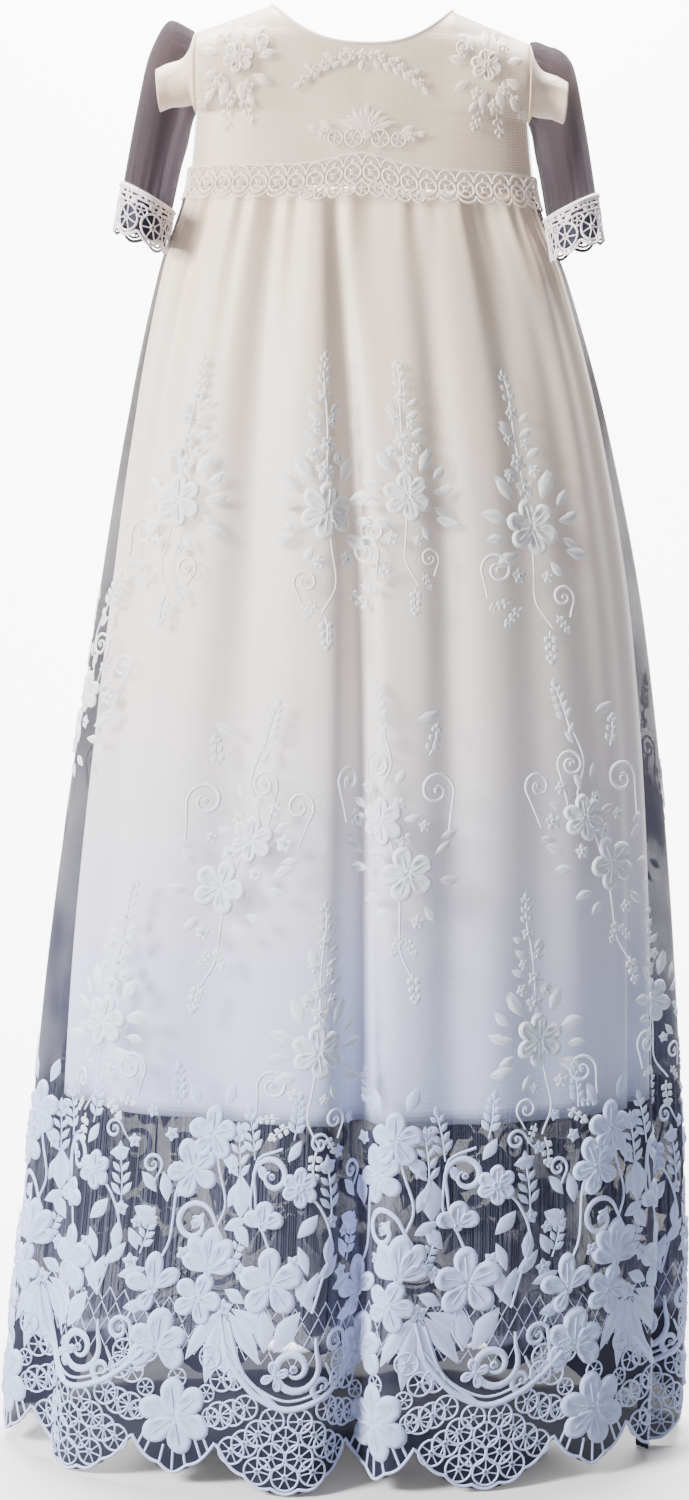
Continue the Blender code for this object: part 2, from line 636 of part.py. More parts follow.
def waist_trim(part, start, end):
    """A length of the looped trim over the waist seam: one lobe below each of its medallions."""
    count = TRIM_PITCHES[part]
    low = girth_angles(start, end, count * 3 + 1)
    lobe = np.where(np.arange(len(low)) % 3 == 0, 0, 1)
    below = TRIM_NOTCH_Z + (TRIM_TIP_Z - TRIM_NOTCH_Z) * lobe
    high = girth_angles(start, end, count * 2 + 1)
    outline = [*zip(low, below)] + [(u, TRIM_TOP_Z) for u in high[::-1]]
    inner = [(u, WAIST_Z) for u in high[1:-1]]
    flat, triangles = cut_sheet(outline, [], inner)
    u, z = flat[:, 0], flat[:, 1]
    ends = np.where(np.isclose(u, start), 0.1, 0) - np.where(np.isclose(u, end), 0.1, 0)
    z = z + TRIM_RISE * np.exp(-((u / TRIM_RISE_ANGLE) ** 2))
    clear = TRIM_CLEAR + 0.09 * np.clip(WAIST_Z - z, 0, None)
    sheets = [girth_surface(u + ends, z, -clear - thick) for thick in (1.3, 0)]
    wall("waist_trim_" + part, *sheets, triangles, "guipure")


SLEEVE_TURNS = 18


def sleeve(name, side, rows, shares, inset, thickness, material_name):
    """A tube of cloth through the sleeve's rows, open at the armhole and below."""
    turn = np.arange(SLEEVE_TURNS) * math.tau / SLEEVE_TURNS
    turns, share = np.meshgrid(turn, np.array(shares))

    def surface(turns, share):
        return sleeve_surface(rows, share, turns, side)

    outer = surface(turns, share)
    normal = outward(surface, turns, np.clip(share, 0.01, 0.99), 0.01, 0.01)
    centre = outer.mean(axis=1, keepdims=True)
    facing = np.sign(np.einsum("rci,rci->r", normal, outer - centre))
    normal = normal * facing[:, None, None]
    at_armhole = share == shares[0]
    normal[at_armhole, 0] = 0
    normal = normal / np.linalg.norm(normal, axis=-1, keepdims=True)
    triangles = grid_triangles(len(shares), SLEEVE_TURNS, closed=True)
    far = (outer - normal * inset).reshape(-1, 3)
    near = (outer - normal * (inset + thickness)).reshape(-1, 3)
    wall(name, far, near, triangles, material_name)


def cuff_half(name, side, start, end):
    """Half of a scalloped lace cuff, between its outer line and its inner line."""
    angles = np.linspace(start, end, 241)
    ring = sleeve_surface(SLEEVE_ROWS, np.full(angles.shape, 0.92), angles, side)
    length = np.concatenate([[0], np.cumsum(np.linalg.norm(np.diff(ring, axis=0), axis=1))])
    count = CUFF_SCALLOPS // 2
    pitch = length[-1] / count
    margin = SEAM_GAP / 2
    stations = np.arange(count * 4 + 1) * pitch / 4
    edge = 5.5 * np.abs(2 * (stations / pitch % 1) - 1) ** 2
    stations[0], stations[-1] = margin, length[-1] - margin
    top = CUFF_HEIGHT - 2 * SEAM_GAP
    outline = [*zip(stations, edge)] + [(s, top) for s in stations[::-2]]
    gaps = []
    for place in range(count):
        gaps += fan_gaps((place + 0.5) * pitch, 12.2, 9.3)
    inner = [(s, 18.5) for s in stations[2:-2:2]]
    flat, triangles = cut_sheet(outline, gaps, inner)

    def surface(s, height):
        share = 1 - height / CUFF_HEIGHT * (1 - CUFF_START)
        return sleeve_surface(SLEEVE_ROWS, share, np.interp(s, length, angles), side)

    outer = surface(flat[:, 0], flat[:, 1])
    inside = np.clip(flat[:, 0], 1, length[-1] - 1)
    normal = outward(surface, inside, np.clip(flat[:, 1], 1, None), 0.3, 0.3)
    centre = sleeve_surface(SLEEVE_ROWS, 0.9, angles, side).mean(axis=0) * (1, 0, 1)
    centre[1] = sleeve_surface(SLEEVE_ROWS, 0.9, np.array([0.0]), side)[0, 1]
    if np.einsum("ij,ij->", normal, outer - centre) < 0:
        normal = -normal
    if side == "right":
        triangles = triangles[:, ::-1]
    wall(name, outer, outer - normal * 1.3, triangles, "guipure")
    return len(gaps)


BUTTON_HEIGHTS = (-34.0, -58.0, -82.0, -100.0)
BUTTON_RADIUS = 4.5


def button(name, z):
    """A small satin-covered dome sewn beside the centre-back opening."""
    centre = bodice_surface(np.array(0.046), np.array((z + NECK_DROP_BACK) / (WAIST_Z + NECK_DROP_BACK)), 1)
    y = girth(z, "back") + SEAM_GAP + 0.1
    profile = ((1.0, 0.0), (1.0, 1.2), (0.8, 2.4), (0.45, 3.0))
    turn = np.arange(10) * math.tau / 10
    points, faces = [], []
    for radius, height in profile:
        points += [
            (centre[0] + BUTTON_RADIUS * radius * math.cos(a), y + height,
             z + BUTTON_RADIUS * radius * math.sin(a))
            for a in turn
        ]
    for r, c, d in ((r, c, (c + 1) % 10) for r in range(3) for c in range(10)):
        faces.append((r * 10 + c, r * 10 + d, r * 10 + 10 + d, r * 10 + 10 + c))
    faces += [tuple(range(30, 40)), tuple(range(9, -1, -1))]
    mesh = bpy.data.meshes.new(name)
    mesh.from_pydata((hung(np.array(points)) / 1000).tolist(), [], [f[::-1] for f in faces])
    mesh.materials.append(material("button_satin"))
    made = bpy.data.objects.new(name, mesh)
    bpy.context.scene.collection.objects.link(made)


def build_trimmings():
    """The motifs and the waist trim sewn on, and the buttons."""
    applique("shoulder_applique_left", 79, -42, 20, 25, 6, 12)
    applique("shoulder_applique_right", -79, -42, 20, 25, 6, -12)
    applique("neck_applique", 0, -36.5, 23, 6, 5, 0)
    applique("waist_applique", 3, -79.5, 33, 14.5, 6, 0)
    waist_trim("front", -90, 90)
    waist_trim("back_left", 90, 179.5)
    waist_trim("back_right", 180.5, 270)
    for number, z in enumerate(BUTTON_HEIGHTS, 1):
        button(f"button_{number}", z)


def build_sleeves():
    """Sheer sleeves with lace cuffs over the short satin caps."""
    cut = 0
    for side in ("left", "right"):
        shares = [0, 0.1, 0.2, 0.34, 0.5, 0.65, CUFF_START]
        sleeve("sleeve_" + side, side, SLEEVE_ROWS, shares, 0.0, TULLE, "tulle")
        sleeve("lining_cap_" + side, side, CAP_ROWS, [0, 0.25, 0.5, 0.75, 1], 0.0, SATIN, "satin")
        cut += cuff_half(f"cuff_{side}_back", side, 0, math.pi)
        cut += cuff_half(f"cuff_{side}_front", side, math.pi, math.tau)
    return cut


def main():
    for old in list(bpy.data.objects):
        bpy.data.objects.remove(old)
    build_bodice()
    cut = overskirt_panel("overskirt_front", -90, 90)
    cut += overskirt_panel("overskirt_back", 90, 270)
    lining_panel("lining_skirt_front", -90, 90)
    lining_panel("lining_skirt_back", 90, 270)
    cut += build_sleeves()
    build_trimmings()
    print("gaps cut", cut, "hem length", round(hem_lengths()[1][-1]))


main()
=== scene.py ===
import math

import bpy
import numpy as np
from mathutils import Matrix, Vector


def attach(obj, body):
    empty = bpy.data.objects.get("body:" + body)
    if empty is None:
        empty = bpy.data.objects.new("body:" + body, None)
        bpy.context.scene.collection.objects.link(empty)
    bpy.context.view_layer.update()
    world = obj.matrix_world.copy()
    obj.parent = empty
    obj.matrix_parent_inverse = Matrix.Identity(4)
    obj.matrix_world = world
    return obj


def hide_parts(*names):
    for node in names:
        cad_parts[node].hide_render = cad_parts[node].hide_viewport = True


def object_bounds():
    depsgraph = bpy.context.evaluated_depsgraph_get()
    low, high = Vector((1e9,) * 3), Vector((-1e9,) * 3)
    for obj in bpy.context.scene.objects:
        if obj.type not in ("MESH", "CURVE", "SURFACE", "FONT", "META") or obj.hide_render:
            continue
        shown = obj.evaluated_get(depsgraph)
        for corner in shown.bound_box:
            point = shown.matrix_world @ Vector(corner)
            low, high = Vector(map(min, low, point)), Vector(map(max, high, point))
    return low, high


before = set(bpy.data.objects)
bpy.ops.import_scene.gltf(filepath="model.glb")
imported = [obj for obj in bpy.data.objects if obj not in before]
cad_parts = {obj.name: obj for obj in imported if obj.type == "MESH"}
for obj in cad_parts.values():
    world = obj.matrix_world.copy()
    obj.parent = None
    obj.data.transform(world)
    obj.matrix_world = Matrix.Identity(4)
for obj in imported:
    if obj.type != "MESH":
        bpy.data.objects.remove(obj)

cad_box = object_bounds()

# The satin lining skirt: ivory duchess satin, gathered into the waist and hemmed at mid-calf.
# It is cut in a front and a back, seamed at the sides, and hangs free inside the net. Sizes are in
# millimetres. Every skirt layer follows the same girth, drift and folds, so they are settled here.

WAIST_Z, LINING_HEM_Z, HEM_Z, KNEE_Z = -117.0, -712.0, -944.0, -400.0
SECTION = dict(zip(("below", "half_width", "front", "back", "squareness"), np.array([
    (70, 108, 40, 38, 2.5), (97, 110.6, 41.6, 39.6, 2.45), (117, 113, 43, 41, 2.4),
    (170, 133, 56, 54, 2.2), (264, 158, 76, 74, 2.1), (421, 186, 98, 96, 2.0),
    (636, 212, 117, 115, 2.0), (856, 228, 128, 126, 2.0), (944, 232, 131, 129, 2.0)], float).T))
NET_INSET = 1.2
DRIFT = np.array([(-10, 0), (120, 0), (190, 1.1), (280, 3.2), (380, 4.9), (460, 3.9), (620, -0.5),
                  (775, -4.6), (890, -11), (944, -13)], float)
# angle at waist and hem, width at waist and hem to the left, then to the right, and three depths
FOLDS = np.array([
    (-7, 2, 3.2, 4.2, 2.8, 3.2, 4.4, 14, 27), (-26, -29, 3.6, 12, 4.0, 12, 2.8, 7, 6),
    (15, 18, 3.6, 6, 3.6, 6, 3.2, 7, 2), (37, 34, 4.5, 8, 4.5, 8, 2.4, 4, 3),
    (52, 53, 4.5, 7, 4.5, 7, 1.8, 4, 2), (72, 68, 5.0, 4.0, 5.0, 5.5, 1.0, 2, 22),
    (-58, -62, 5.0, 7, 5.0, 6, 1.2, 3, 12), (118, 116, 6.0, 6, 6.0, 7, 1.8, 5, 14),
    (148, 146, 4.0, 7, 4.0, 5, 2.8, 8, 16), (172, 176, 3.6, 6, 3.6, 5, 3.2, 9, 18),
    (202, 206, 4.0, 6, 4.0, 7, 2.8, 8, 14), (236, 240, 6.0, 7, 6.0, 6, 1.8, 5, 14)], float)
FOLDS = FOLDS[np.argsort(FOLDS[:, 1])]


def eased(at, known_at, known):
    """A monotone cubic through the known values: each inner slope is the harmonic mean of its
    neighbours' slopes, or flat where they differ in sign."""
    at = np.asarray(at, float)
    gap = np.diff(known_at)
    slope = np.diff(known) / gap
    before, after = slope[:-1], slope[1:]
    same = before * after > 0
    mean = np.where(same, 2 * before * after / np.where(same, before + after, 1), 0)
    tangent = np.concatenate([slope[:1], mean, slope[-1:]])
    i = np.clip(np.searchsorted(known_at, at) - 1, 0, len(gap) - 1)
    t = np.clip((at - known_at[i]) / gap[i], 0, 1)
    rise = known[i] * (1 + 2 * t) * (1 - t) ** 2 + known[i + 1] * t * t * (3 - 2 * t)
    return rise + gap[i] * t * (1 - t) * (tangent[i] * (1 - t) - tangent[i + 1] * t)


def girth(z, column):
    """One column of the section table at height z."""
    return eased(-np.asarray(z, float), SECTION["below"], SECTION[column])


def length_along(path):
    """The distance along a path of points, from 0 at its first."""
    return np.concatenate([[0], np.cumsum(np.linalg.norm(np.diff(path, axis=0), axis=1))])


def hung(points):
    """The gown as it hangs: moved aside by the drift table, and rolled a little at the shoulders."""
    x, y, z = points[..., 0], points[..., 1], points[..., 2]
    aside = eased(-z, DRIFT[:, 0], DRIFT[:, 1])
    return np.stack([x + aside, y, z - 0.034 * x * (1 - np.clip(z / HEM_Z, 0, 1))], axis=-1)


def down_the_skirt(z):
    """0 at the waist and 1 at the hem."""
    return np.clip((z - WAIST_Z) / (HEM_Z - WAIST_Z), 0, 1)


def cloth_angle(u, z):
    """Where the cloth that hangs at angle u at the hem lies at height z: between two neighbouring
    folds it keeps its share of the way from one to the other."""
    at_hem = np.concatenate([[-90], FOLDS[:, 1], [270]])
    at_waist = np.concatenate([[-90], FOLDS[:, 0], [270]])
    share = down_the_skirt(z) ** 0.6
    i = np.clip(np.searchsorted(at_hem, u) - 1, 0, len(at_hem) - 2)
    here, after = (at_waist[k] + (at_hem[k] - at_waist[k]) * share for k in (i, i + 1))
    return here + (u - at_hem[i]) / (at_hem[i + 1] - at_hem[i]) * (after - here)


def fold_depth(angle, z):
    """How far the folds carry the cloth inward: a sum of bell curves round the gown, whose places,
    widths and depths slide from the waist's values to the hem's."""
    down = down_the_skirt(z)
    known_at = np.array([-WAIST_Z, -KNEE_Z, -HEM_Z])
    total = np.zeros(np.broadcast(angle, z).shape)
    for waist, hem, left, left_hem, right, right_hem, *depths in FOLDS:
        away = (angle - (waist + (hem - waist) * down**0.6) + 180) % 360 - 180
        width = np.where(away < 0, left + (left_hem - left) * down, right + (right_hem - right) * down)
        total = total + eased(-z, known_at, np.array(depths)) * np.exp(-((away / width) ** 2))
    return total


def gathers(angle, z):
    """Small uneven pleats that leave the waist seam and die out in a hand's breadth, and slower
    waves that run on down: sums of sines of the angle, each faded with height."""
    below = np.clip(WAIST_Z - z, 0, None)
    wander = angle + 2.2 * np.sin(np.radians(angle * 3 + below * 0.6))
    small = np.sin(np.radians(wander * 34)) + 0.6 * np.sin(np.radians(wander * 53 + 40))
    slow = np.sin(np.radians(wander * 11 + 20)) + 0.7 * np.sin(np.radians(wander * 17 + 75))
    start = np.clip(below / 6, 0, 1)
    return start * (1.1 * np.exp(-below / 42) * small + 2.1 * np.exp(-below / 300) * slow)


def outward(x, y, wide, deep, power):
    """The outward normal of a superellipse, at one of its points."""
    out_x = np.sign(x) * np.abs(x / wide) ** (power - 1) / wide
    out_y = np.sign(y) * np.abs(y / deep) ** (power - 1) / deep
    length = np.hypot(out_x, out_y)
    return out_x / length, out_y / length


def skirt_point(u, z, inset=0.0):
    """A point of a skirt layer: a superellipse of the girth at this height, carried inward along its
    own normal by the inset, the folds and the gathers."""
    u, z = np.broadcast_arrays(np.asarray(u, float), np.asarray(z, float))
    angle = cloth_angle(u, z)
    sine, cosine = np.sin(np.radians(angle)), np.cos(np.radians(angle))
    wide, power = girth(z, "half_width"), girth(z, "squareness")
    deep = np.where(cosine >= 0, girth(z, "front"), girth(z, "back"))
    x = np.sign(sine) * np.abs(sine) ** (2 / power) * wide
    y = -np.sign(cosine) * np.abs(cosine) ** (2 / power) * deep
    out_x, out_y = outward(x, y, wide, deep, power)
    inward = inset + fold_depth(angle, z) + NET_INSET + gathers(angle, z)
    return np.stack([x - out_x * inward, y - out_y * inward, z], axis=-1)


def lining_point(u, z):
    """The lining hangs inside the net, 2 mm at the waist and 20 mm at its hem."""
    down = np.clip((z - WAIST_Z) / (LINING_HEM_Z - WAIST_Z), 0, 1)
    return skirt_point(u, z, 1.8 + 18.2 * down**1.3)


def piece(name, points, faces, uvs, material, body="root", slot=None, replaces=()):
    """A mesh from points in millimetres, its faces, and a UV for each point, riding on the gown."""
    mesh = bpy.data.meshes.new(name)
    mesh.from_pydata((hung(points) / 1000).tolist(), [], faces.tolist())
    layer = mesh.uv_layers.new(name="UVMap")
    corners = np.empty(len(mesh.loops), dtype=np.int32)
    mesh.loops.foreach_get("vertex_index", corners)
    layer.data.foreach_set("uv", uvs[corners].astype(np.float32).ravel())
    mesh.polygons.foreach_set("use_smooth", np.ones(len(mesh.polygons), dtype=bool))
    mesh.materials.append(material)
    made = bpy.data.objects.new(name, mesh)
    bpy.context.scene.collection.objects.link(made)
    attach(made, body)
    if replaces:
        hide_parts(*replaces)
    return made


def grid_faces(rows, across, closed=False, turned=False):
    """Quads of a grid of rows by columns, optionally closed into a tube or turned inside out."""
    r, c = np.meshgrid(np.arange(rows - 1), np.arange(across if closed else across - 1), indexing="ij")
    a, b = r * across + c, r * across + (c + 1) % across
    quads = np.stack([a, b, b + across, a + across], axis=-1).reshape(-1, 4)
    return quads[:, ::-1] if turned else quads


def hung_cloth(name, u, z, point, material, **facts):
    """A panel of cloth on a grid: columns at cloth angles u, rows at heights z, and a UV in metres."""
    across, up = np.meshgrid(u, z)
    points = point(across, up)
    steps = np.linalg.norm(np.diff(points, axis=1), axis=-1).max(axis=0)
    along = np.concatenate([[0], np.cumsum(steps)]) / 1000
    uvs = np.stack([np.broadcast_to(along, across.shape), up / 1000], axis=-1).reshape(-1, 2)
    faces = grid_faces(len(z), len(u), turned=True)
    return piece(name, points.reshape(-1, 3), faces, uvs, material, **facts)


def marked(made, name, values):
    """Gives each point of a piece a number that its material reads."""
    attribute = made.data.attributes.new(name, "FLOAT", "POINT")
    attribute.data.foreach_set("value", np.asarray(values, np.float32).ravel())
    return made


def thickened(made, metres):
    """Gives a sheet its thickness on the inside."""
    solid = made.modifiers.new("thickness", "SOLIDIFY")
    solid.thickness = metres
    solid.offset = -1
    solid.use_even_offset = False
    return made


class Shader:
    """A material's node tree, with short calls to add a node and to join two sockets."""

    def __init__(self, name, tree=None):
        self.material = None
        if tree is None:
            self.material = bpy.data.materials.new(name)
            self.material.use_nodes = True
            tree = self.material.node_tree
        self.tree = tree

    def node(self, kind, **values):
        made = self.tree.nodes.new(kind)
        for name, value in values.items():
            setattr(made, name, value)
        return made

    def join(self, out, into):
        self.tree.links.new(out, into)

    def number(self, operation, first, second=None, third=None):
        made = self.node("ShaderNodeMath", operation=operation)
        for socket, value in zip(made.inputs, (first, second, third)):
            if value is None:
                continue
            if isinstance(value, (int, float)):
                socket.default_value = value
            else:
                self.join(value, socket)
        return made.outputs[0]

    def ranged(self, value, start, end, to_start=0.0, to_end=1.0, interpolation="LINEAR"):
        made = self.node("ShaderNodeMapRange", interpolation_type=interpolation)
        for label, number in (
                ("From Min", start), ("From Max", end), ("To Min", to_start), ("To Max", to_end)):
            made.inputs[label].default_value = number
        self.join(value, made.inputs["Value"])
        return made.outputs[0]

    def tinted(self, warm, plain, cool):
        made = self.node("ShaderNodeGroup", node_tree=HEIGHT_TINT)
        for label, colour in (("Warm", warm), ("Plain", plain), ("Cool", cool)):
            made.inputs[label].default_value = (*colour, 1)
        return made

    def along_axes(self, space):
        place = self.node("ShaderNodeTexCoord")
        split = self.node("ShaderNodeSeparateXYZ")
        self.join(place.outputs[space], split.inputs[0])
        return place.outputs, split.outputs

    def woven(self, threads, slub, strength, distance):
        weave = self.node("ShaderNodeGroup", node_tree=THREADS)
        for label, value in zip(("Across", "Along", "Slub"), (*threads, slub)):
            weave.inputs[label].default_value = value
        bump = self.node("ShaderNodeBump")
        bump.inputs["Strength"].default_value = strength
        bump.inputs["Distance"].default_value = distance
        self.join(weave.outputs["Height"], bump.inputs["Height"])
        self.join(bump.outputs["Normal"], self.tree.nodes["Principled BSDF"].inputs["Normal"])
        return weave.outputs["Height"]

    def mix(self, share, first, second):
        made = self.node("ShaderNodeMix", data_type="RGBA")
        for socket, value in zip((made.inputs[0], made.inputs[6], made.inputs[7]), (share, first, second)):
            if isinstance(value, (int, float, tuple)):
                socket.default_value = value
            else:
                self.join(value, socket)
        return made.outputs[2]


def new_group(name, inputs, outputs):
    """An empty shader node group with named inputs and outputs: (socket type, name, value)."""
    tree = bpy.data.node_groups.new(name, "ShaderNodeTree")
    for kind, label, value in inputs:
        socket = tree.interface.new_socket(label, in_out="INPUT", socket_type="NodeSocket" + kind)
        if value is not None:
            socket.default_value = value
    for kind, label in outputs:
        tree.interface.new_socket(label, in_out="OUTPUT", socket_type="NodeSocket" + kind)
    shader = Shader(name, tree)
    return shader, shader.node("NodeGroupInput").outputs, shader.node("NodeGroupOutput").inputs


def height_tint_group():
    """Cloth colour by height on the gown: a warm tint at the shoulders, a plain one at the knee and
    a cool one at the hem, with slow uneven patches like old ivory satin."""
    s, given, out = new_group(
        "ivory to lilac", [("Color", "Warm", (1, 1, 1, 1)), ("Color", "Plain", (1, 1, 1, 1)),
                           ("Color", "Cool", (1, 1, 1, 1)), ("Float", "Patches", 0.04)],
        [("Color", "Color")])
    place, axes = s.along_axes("Object")
    low = s.ranged(axes["Z"], -0.05, -0.50, interpolation="SMOOTHSTEP")
    high = s.ranged(axes["Z"], -0.40, -0.74, interpolation="SMOOTHSTEP")
    whole = s.mix(high, s.mix(low, given["Warm"], given["Plain"]), given["Cool"])
    blots = s.node("ShaderNodeTexNoise")
    blots.inputs["Scale"].default_value = 9.0
    blots.inputs["Detail"].default_value = 3.0
    s.join(place["Object"], blots.inputs["Vector"])
    shift = s.number("MULTIPLY_ADD", s.number("SUBTRACT", blots.outputs["Fac"], 0.5), given["Patches"], 1.0)
    scaled = s.node("ShaderNodeVectorMath", operation="SCALE")
    s.join(whole, scaled.inputs[0])
    s.join(shift, scaled.inputs["Scale"])
    s.join(scaled.outputs[0], out["Color"])
    return s.tree


def weave_group():
    """A woven or stitched surface as a height: fine bands across and along the UV, broken up by a
    little noise. Across and Along are in radians to a metre, so 6.28 of them make one thread."""
    s, given, out = new_group(
        "threads", [("Float", "Across", 1500.0), ("Float", "Along", 1500.0), ("Float", "Slub", 0.5)],
        [("Float", "Height")])
    place, axes = s.along_axes("UV")
    across = s.number("SINE", s.number("MULTIPLY", axes["X"], given["Across"]))
    along = s.number("SINE", s.number("MULTIPLY", axes["Y"], given["Along"]))
    noise = s.node("ShaderNodeTexNoise")
    noise.inputs["Scale"].default_value = 120.0
    s.join(place["UV"], noise.inputs["Vector"])
    rough = s.number("MULTIPLY", noise.outputs["Fac"], given["Slub"])
    s.join(s.number("ADD", s.number("MULTIPLY", across, 0.5), s.number("MULTIPLY_ADD", along, 0.5, rough)),
           out["Height"])
    return s.tree


HEIGHT_TINT, THREADS = height_tint_group(), weave_group()


def cloth_material(name, warm, plain, cool, roughness, sheen, threads, bump, patches=0.05, slub=0.5):
    """Opaque cloth: a colour by height, a roughness broken by its threads, and their relief."""
    s = Shader(name)
    shader = s.tree.nodes["Principled BSDF"]
    tint = s.tinted(warm, plain, cool)
    tint.inputs["Patches"].default_value = patches
    height = s.woven(threads, slub, bump, 0.0004)
    s.join(tint.outputs["Color"], shader.inputs["Base Color"])
    s.join(s.number("MULTIPLY_ADD", height, 0.05, roughness), shader.inputs["Roughness"])
    shader.inputs["Sheen Weight"].default_value = sheen
    shader.inputs["Sheen Roughness"].default_value = 0.4
    shader.inputs["Specular IOR Level"].default_value = 0.35
    return s.material


satin = cloth_material("ivory satin", (0.90, 0.72, 0.55), (0.88, 0.80, 0.77), (0.62, 0.69, 1.0),
                       0.38, 0.12, (5200.0, 2100.0), 0.12)
lining_rows = np.concatenate([np.linspace(WAIST_Z - 0.3, -175, 14), np.linspace(-184, LINING_HEM_Z, 50)])
for side, start, end in (("front", -90, 90), ("back", 90, 270)):
    lining = hung_cloth("lining_skirt_" + side + "_satin", np.linspace(start + 0.1, end - 0.1, 320),
                        lining_rows, lining_point, satin, slot="satin",
                        replaces=["lining_skirt_" + side])
    thickened(lining, 0.0009)

# The overskirt: one length of fine soft net over the satin, gathered into the same waist seam and
# left sheer below the lining. It runs down to the scallops; behind their openwork it is painted as a
# near-black, nearly opaque sheet, painted shade for the dark inside of the skirt.

BORDER_REPEATS, BORDER_PHASE, FAN_SHARE = 8, 0.36, 0.62
FAN_PITCH, NOTCH = 0.118, 27.0
# Where the net turns into a near-black sheet of painted shade behind the openwork: its height, its rise at
# the ends of each curve, and its fade.
SHADE_SHEET_TOP, SHADE_SHEET_RISE, SHADE_SHEET_FADE = 98.0, 12.0, 5.0

hem_u = np.linspace(-90, 270, 2881)
hem_ring = skirt_point(hem_u, np.full(hem_u.shape, HEM_Z + NOTCH))
hem_length = length_along(hem_ring)
REPEAT = hem_length[-1] / BORDER_REPEATS


def from_middles(phase):
    """Whether the phase lies under the fans, and how far it is from the middle of the fans and of the
    flower, as shares of half their widths."""
    phase = np.asarray(phase, float) % 1
    fan = (phase - FAN_SHARE / 2) / (FAN_SHARE / 2)
    flower = (phase - (1 + FAN_SHARE) / 2) / ((1 - FAN_SHARE) / 2)
    return phase < FAN_SHARE, fan, flower


def border_edge(phase):
    """Height of the scalloped edge over its lowest tip: a flat-bottomed bow under the fans and a
    narrower one under the flower in each repeat."""
    in_fans, fan, flower = from_middles(phase)
    return np.where(in_fans, NOTCH * np.abs(fan) ** 2.2, 7 + (NOTCH - 7) * np.abs(flower) ** 1.7)


def openwork_top(phase):
    """Height over the lowest tip below which the net is painted as a near-black sheet of painted
    shade: two low curves in each repeat, one over the fans and one over the flower."""
    in_fans, fan, flower = from_middles(phase)
    return SHADE_SHEET_TOP + SHADE_SHEET_RISE * np.where(in_fans, fan, flower) ** 2


def hem_phase(u):
    """The share of a border repeat that the cloth at angle u has reached."""
    return np.interp(u, hem_u, hem_length) / REPEAT - BORDER_PHASE


def net_height(u, share):
    """Heights down the net, from the waist at share 0 to the scalloped edge at share 1."""
    return WAIST_Z - 0.3 + (HEM_Z + border_edge(hem_phase(u)) + 1.5 - WAIST_Z) * share


def net_point(u, share):
    """A point of the net at cloth angle u and a share of the way down."""
    return skirt_point(u, net_height(u, share))


def net_material(name, outer, low_outer, inner, thread, through, shade=0.0):
    """Fine net: threads in small cells let most of the light through, both ways. Seen from inside by
    the camera it is painted in a dark colour and made denser, as painted shade for the shadowed inside
    of the gown. An attribute per point turns it into a near-black, nearly opaque sheet behind the
    openwork, also painted shade, and shade is how much light the net and its embroidery keep out below
    the lining's hem."""
    s = Shader(name)
    shader = s.tree.nodes["Principled BSDF"]
    place, axes = s.along_axes("Object")
    cells = s.node("ShaderNodeTexVoronoi", feature="DISTANCE_TO_EDGE")
    cells.inputs["Scale"].default_value = 620.0
    cells.inputs["Randomness"].default_value = 0.25
    s.join(place["UV"], cells.inputs["Vector"])
    mesh_mask = s.ranged(cells.outputs["Distance"], 0.05, 0.16, *thread)
    inside = s.node("ShaderNodeNewGeometry").outputs["Backfacing"]
    cloud = s.node("ShaderNodeTexNoise")
    cloud.inputs["Scale"].default_value = 14.0
    s.join(place["Object"], cloud.inputs["Vector"])
    inner_alpha = s.number("MULTIPLY_ADD", cloud.outputs["Fac"], 0.12, through)
    # Painted shade: behind the openwork the net becomes a near-black sheet, nearly opaque to the camera.
    shade_sheet_share = s.node("ShaderNodeAttribute", attribute_name="shade_sheet").outputs["Fac"]
    closed = s.number("SUBTRACT", 1.0, shade_sheet_share)
    outer_alpha = s.number("ADD", s.number("MULTIPLY", mesh_mask, closed),
                           s.number("MULTIPLY", shade_sheet_share, 0.965))
    camera_ray = s.node("ShaderNodeLightPath").outputs["Is Camera Ray"]
    # Painted shade: camera rays that meet the net's inner side see the dark inner colour, made denser by the
    # cloud noise.
    painted_inner_shade = s.number("MULTIPLY", inside, camera_ray)
    low = s.ranged(axes["Z"], -0.70, -0.74, 0.0, shade)
    shaded = s.number("MULTIPLY", low, s.number("SUBTRACT", 1.0, camera_ray))
    clear = s.number("MULTIPLY", s.number("SUBTRACT", 1.0, painted_inner_shade), s.number("MAXIMUM", outer_alpha, shaded))
    alpha = s.number("ADD", s.number("MULTIPLY", painted_inner_shade, inner_alpha), clear)
    s.join(alpha, shader.inputs["Alpha"])
    tint = s.tinted(outer, [(a + b) / 2 for a, b in zip(outer, low_outer)], low_outer)
    # The near-black colour of the painted shade sheet.
    with_shade_sheet = s.mix(shade_sheet_share, tint.outputs["Color"], (0.016, 0.017, 0.038, 1))
    # The inner side takes the dark inner colour, which is painted shade.
    s.join(s.mix(inside, with_shade_sheet, (*inner, 1)), shader.inputs["Base Color"])
    shader.inputs["Roughness"].default_value = 0.6
    shader.inputs["Specular IOR Level"].default_value = 0.25
    return s.material


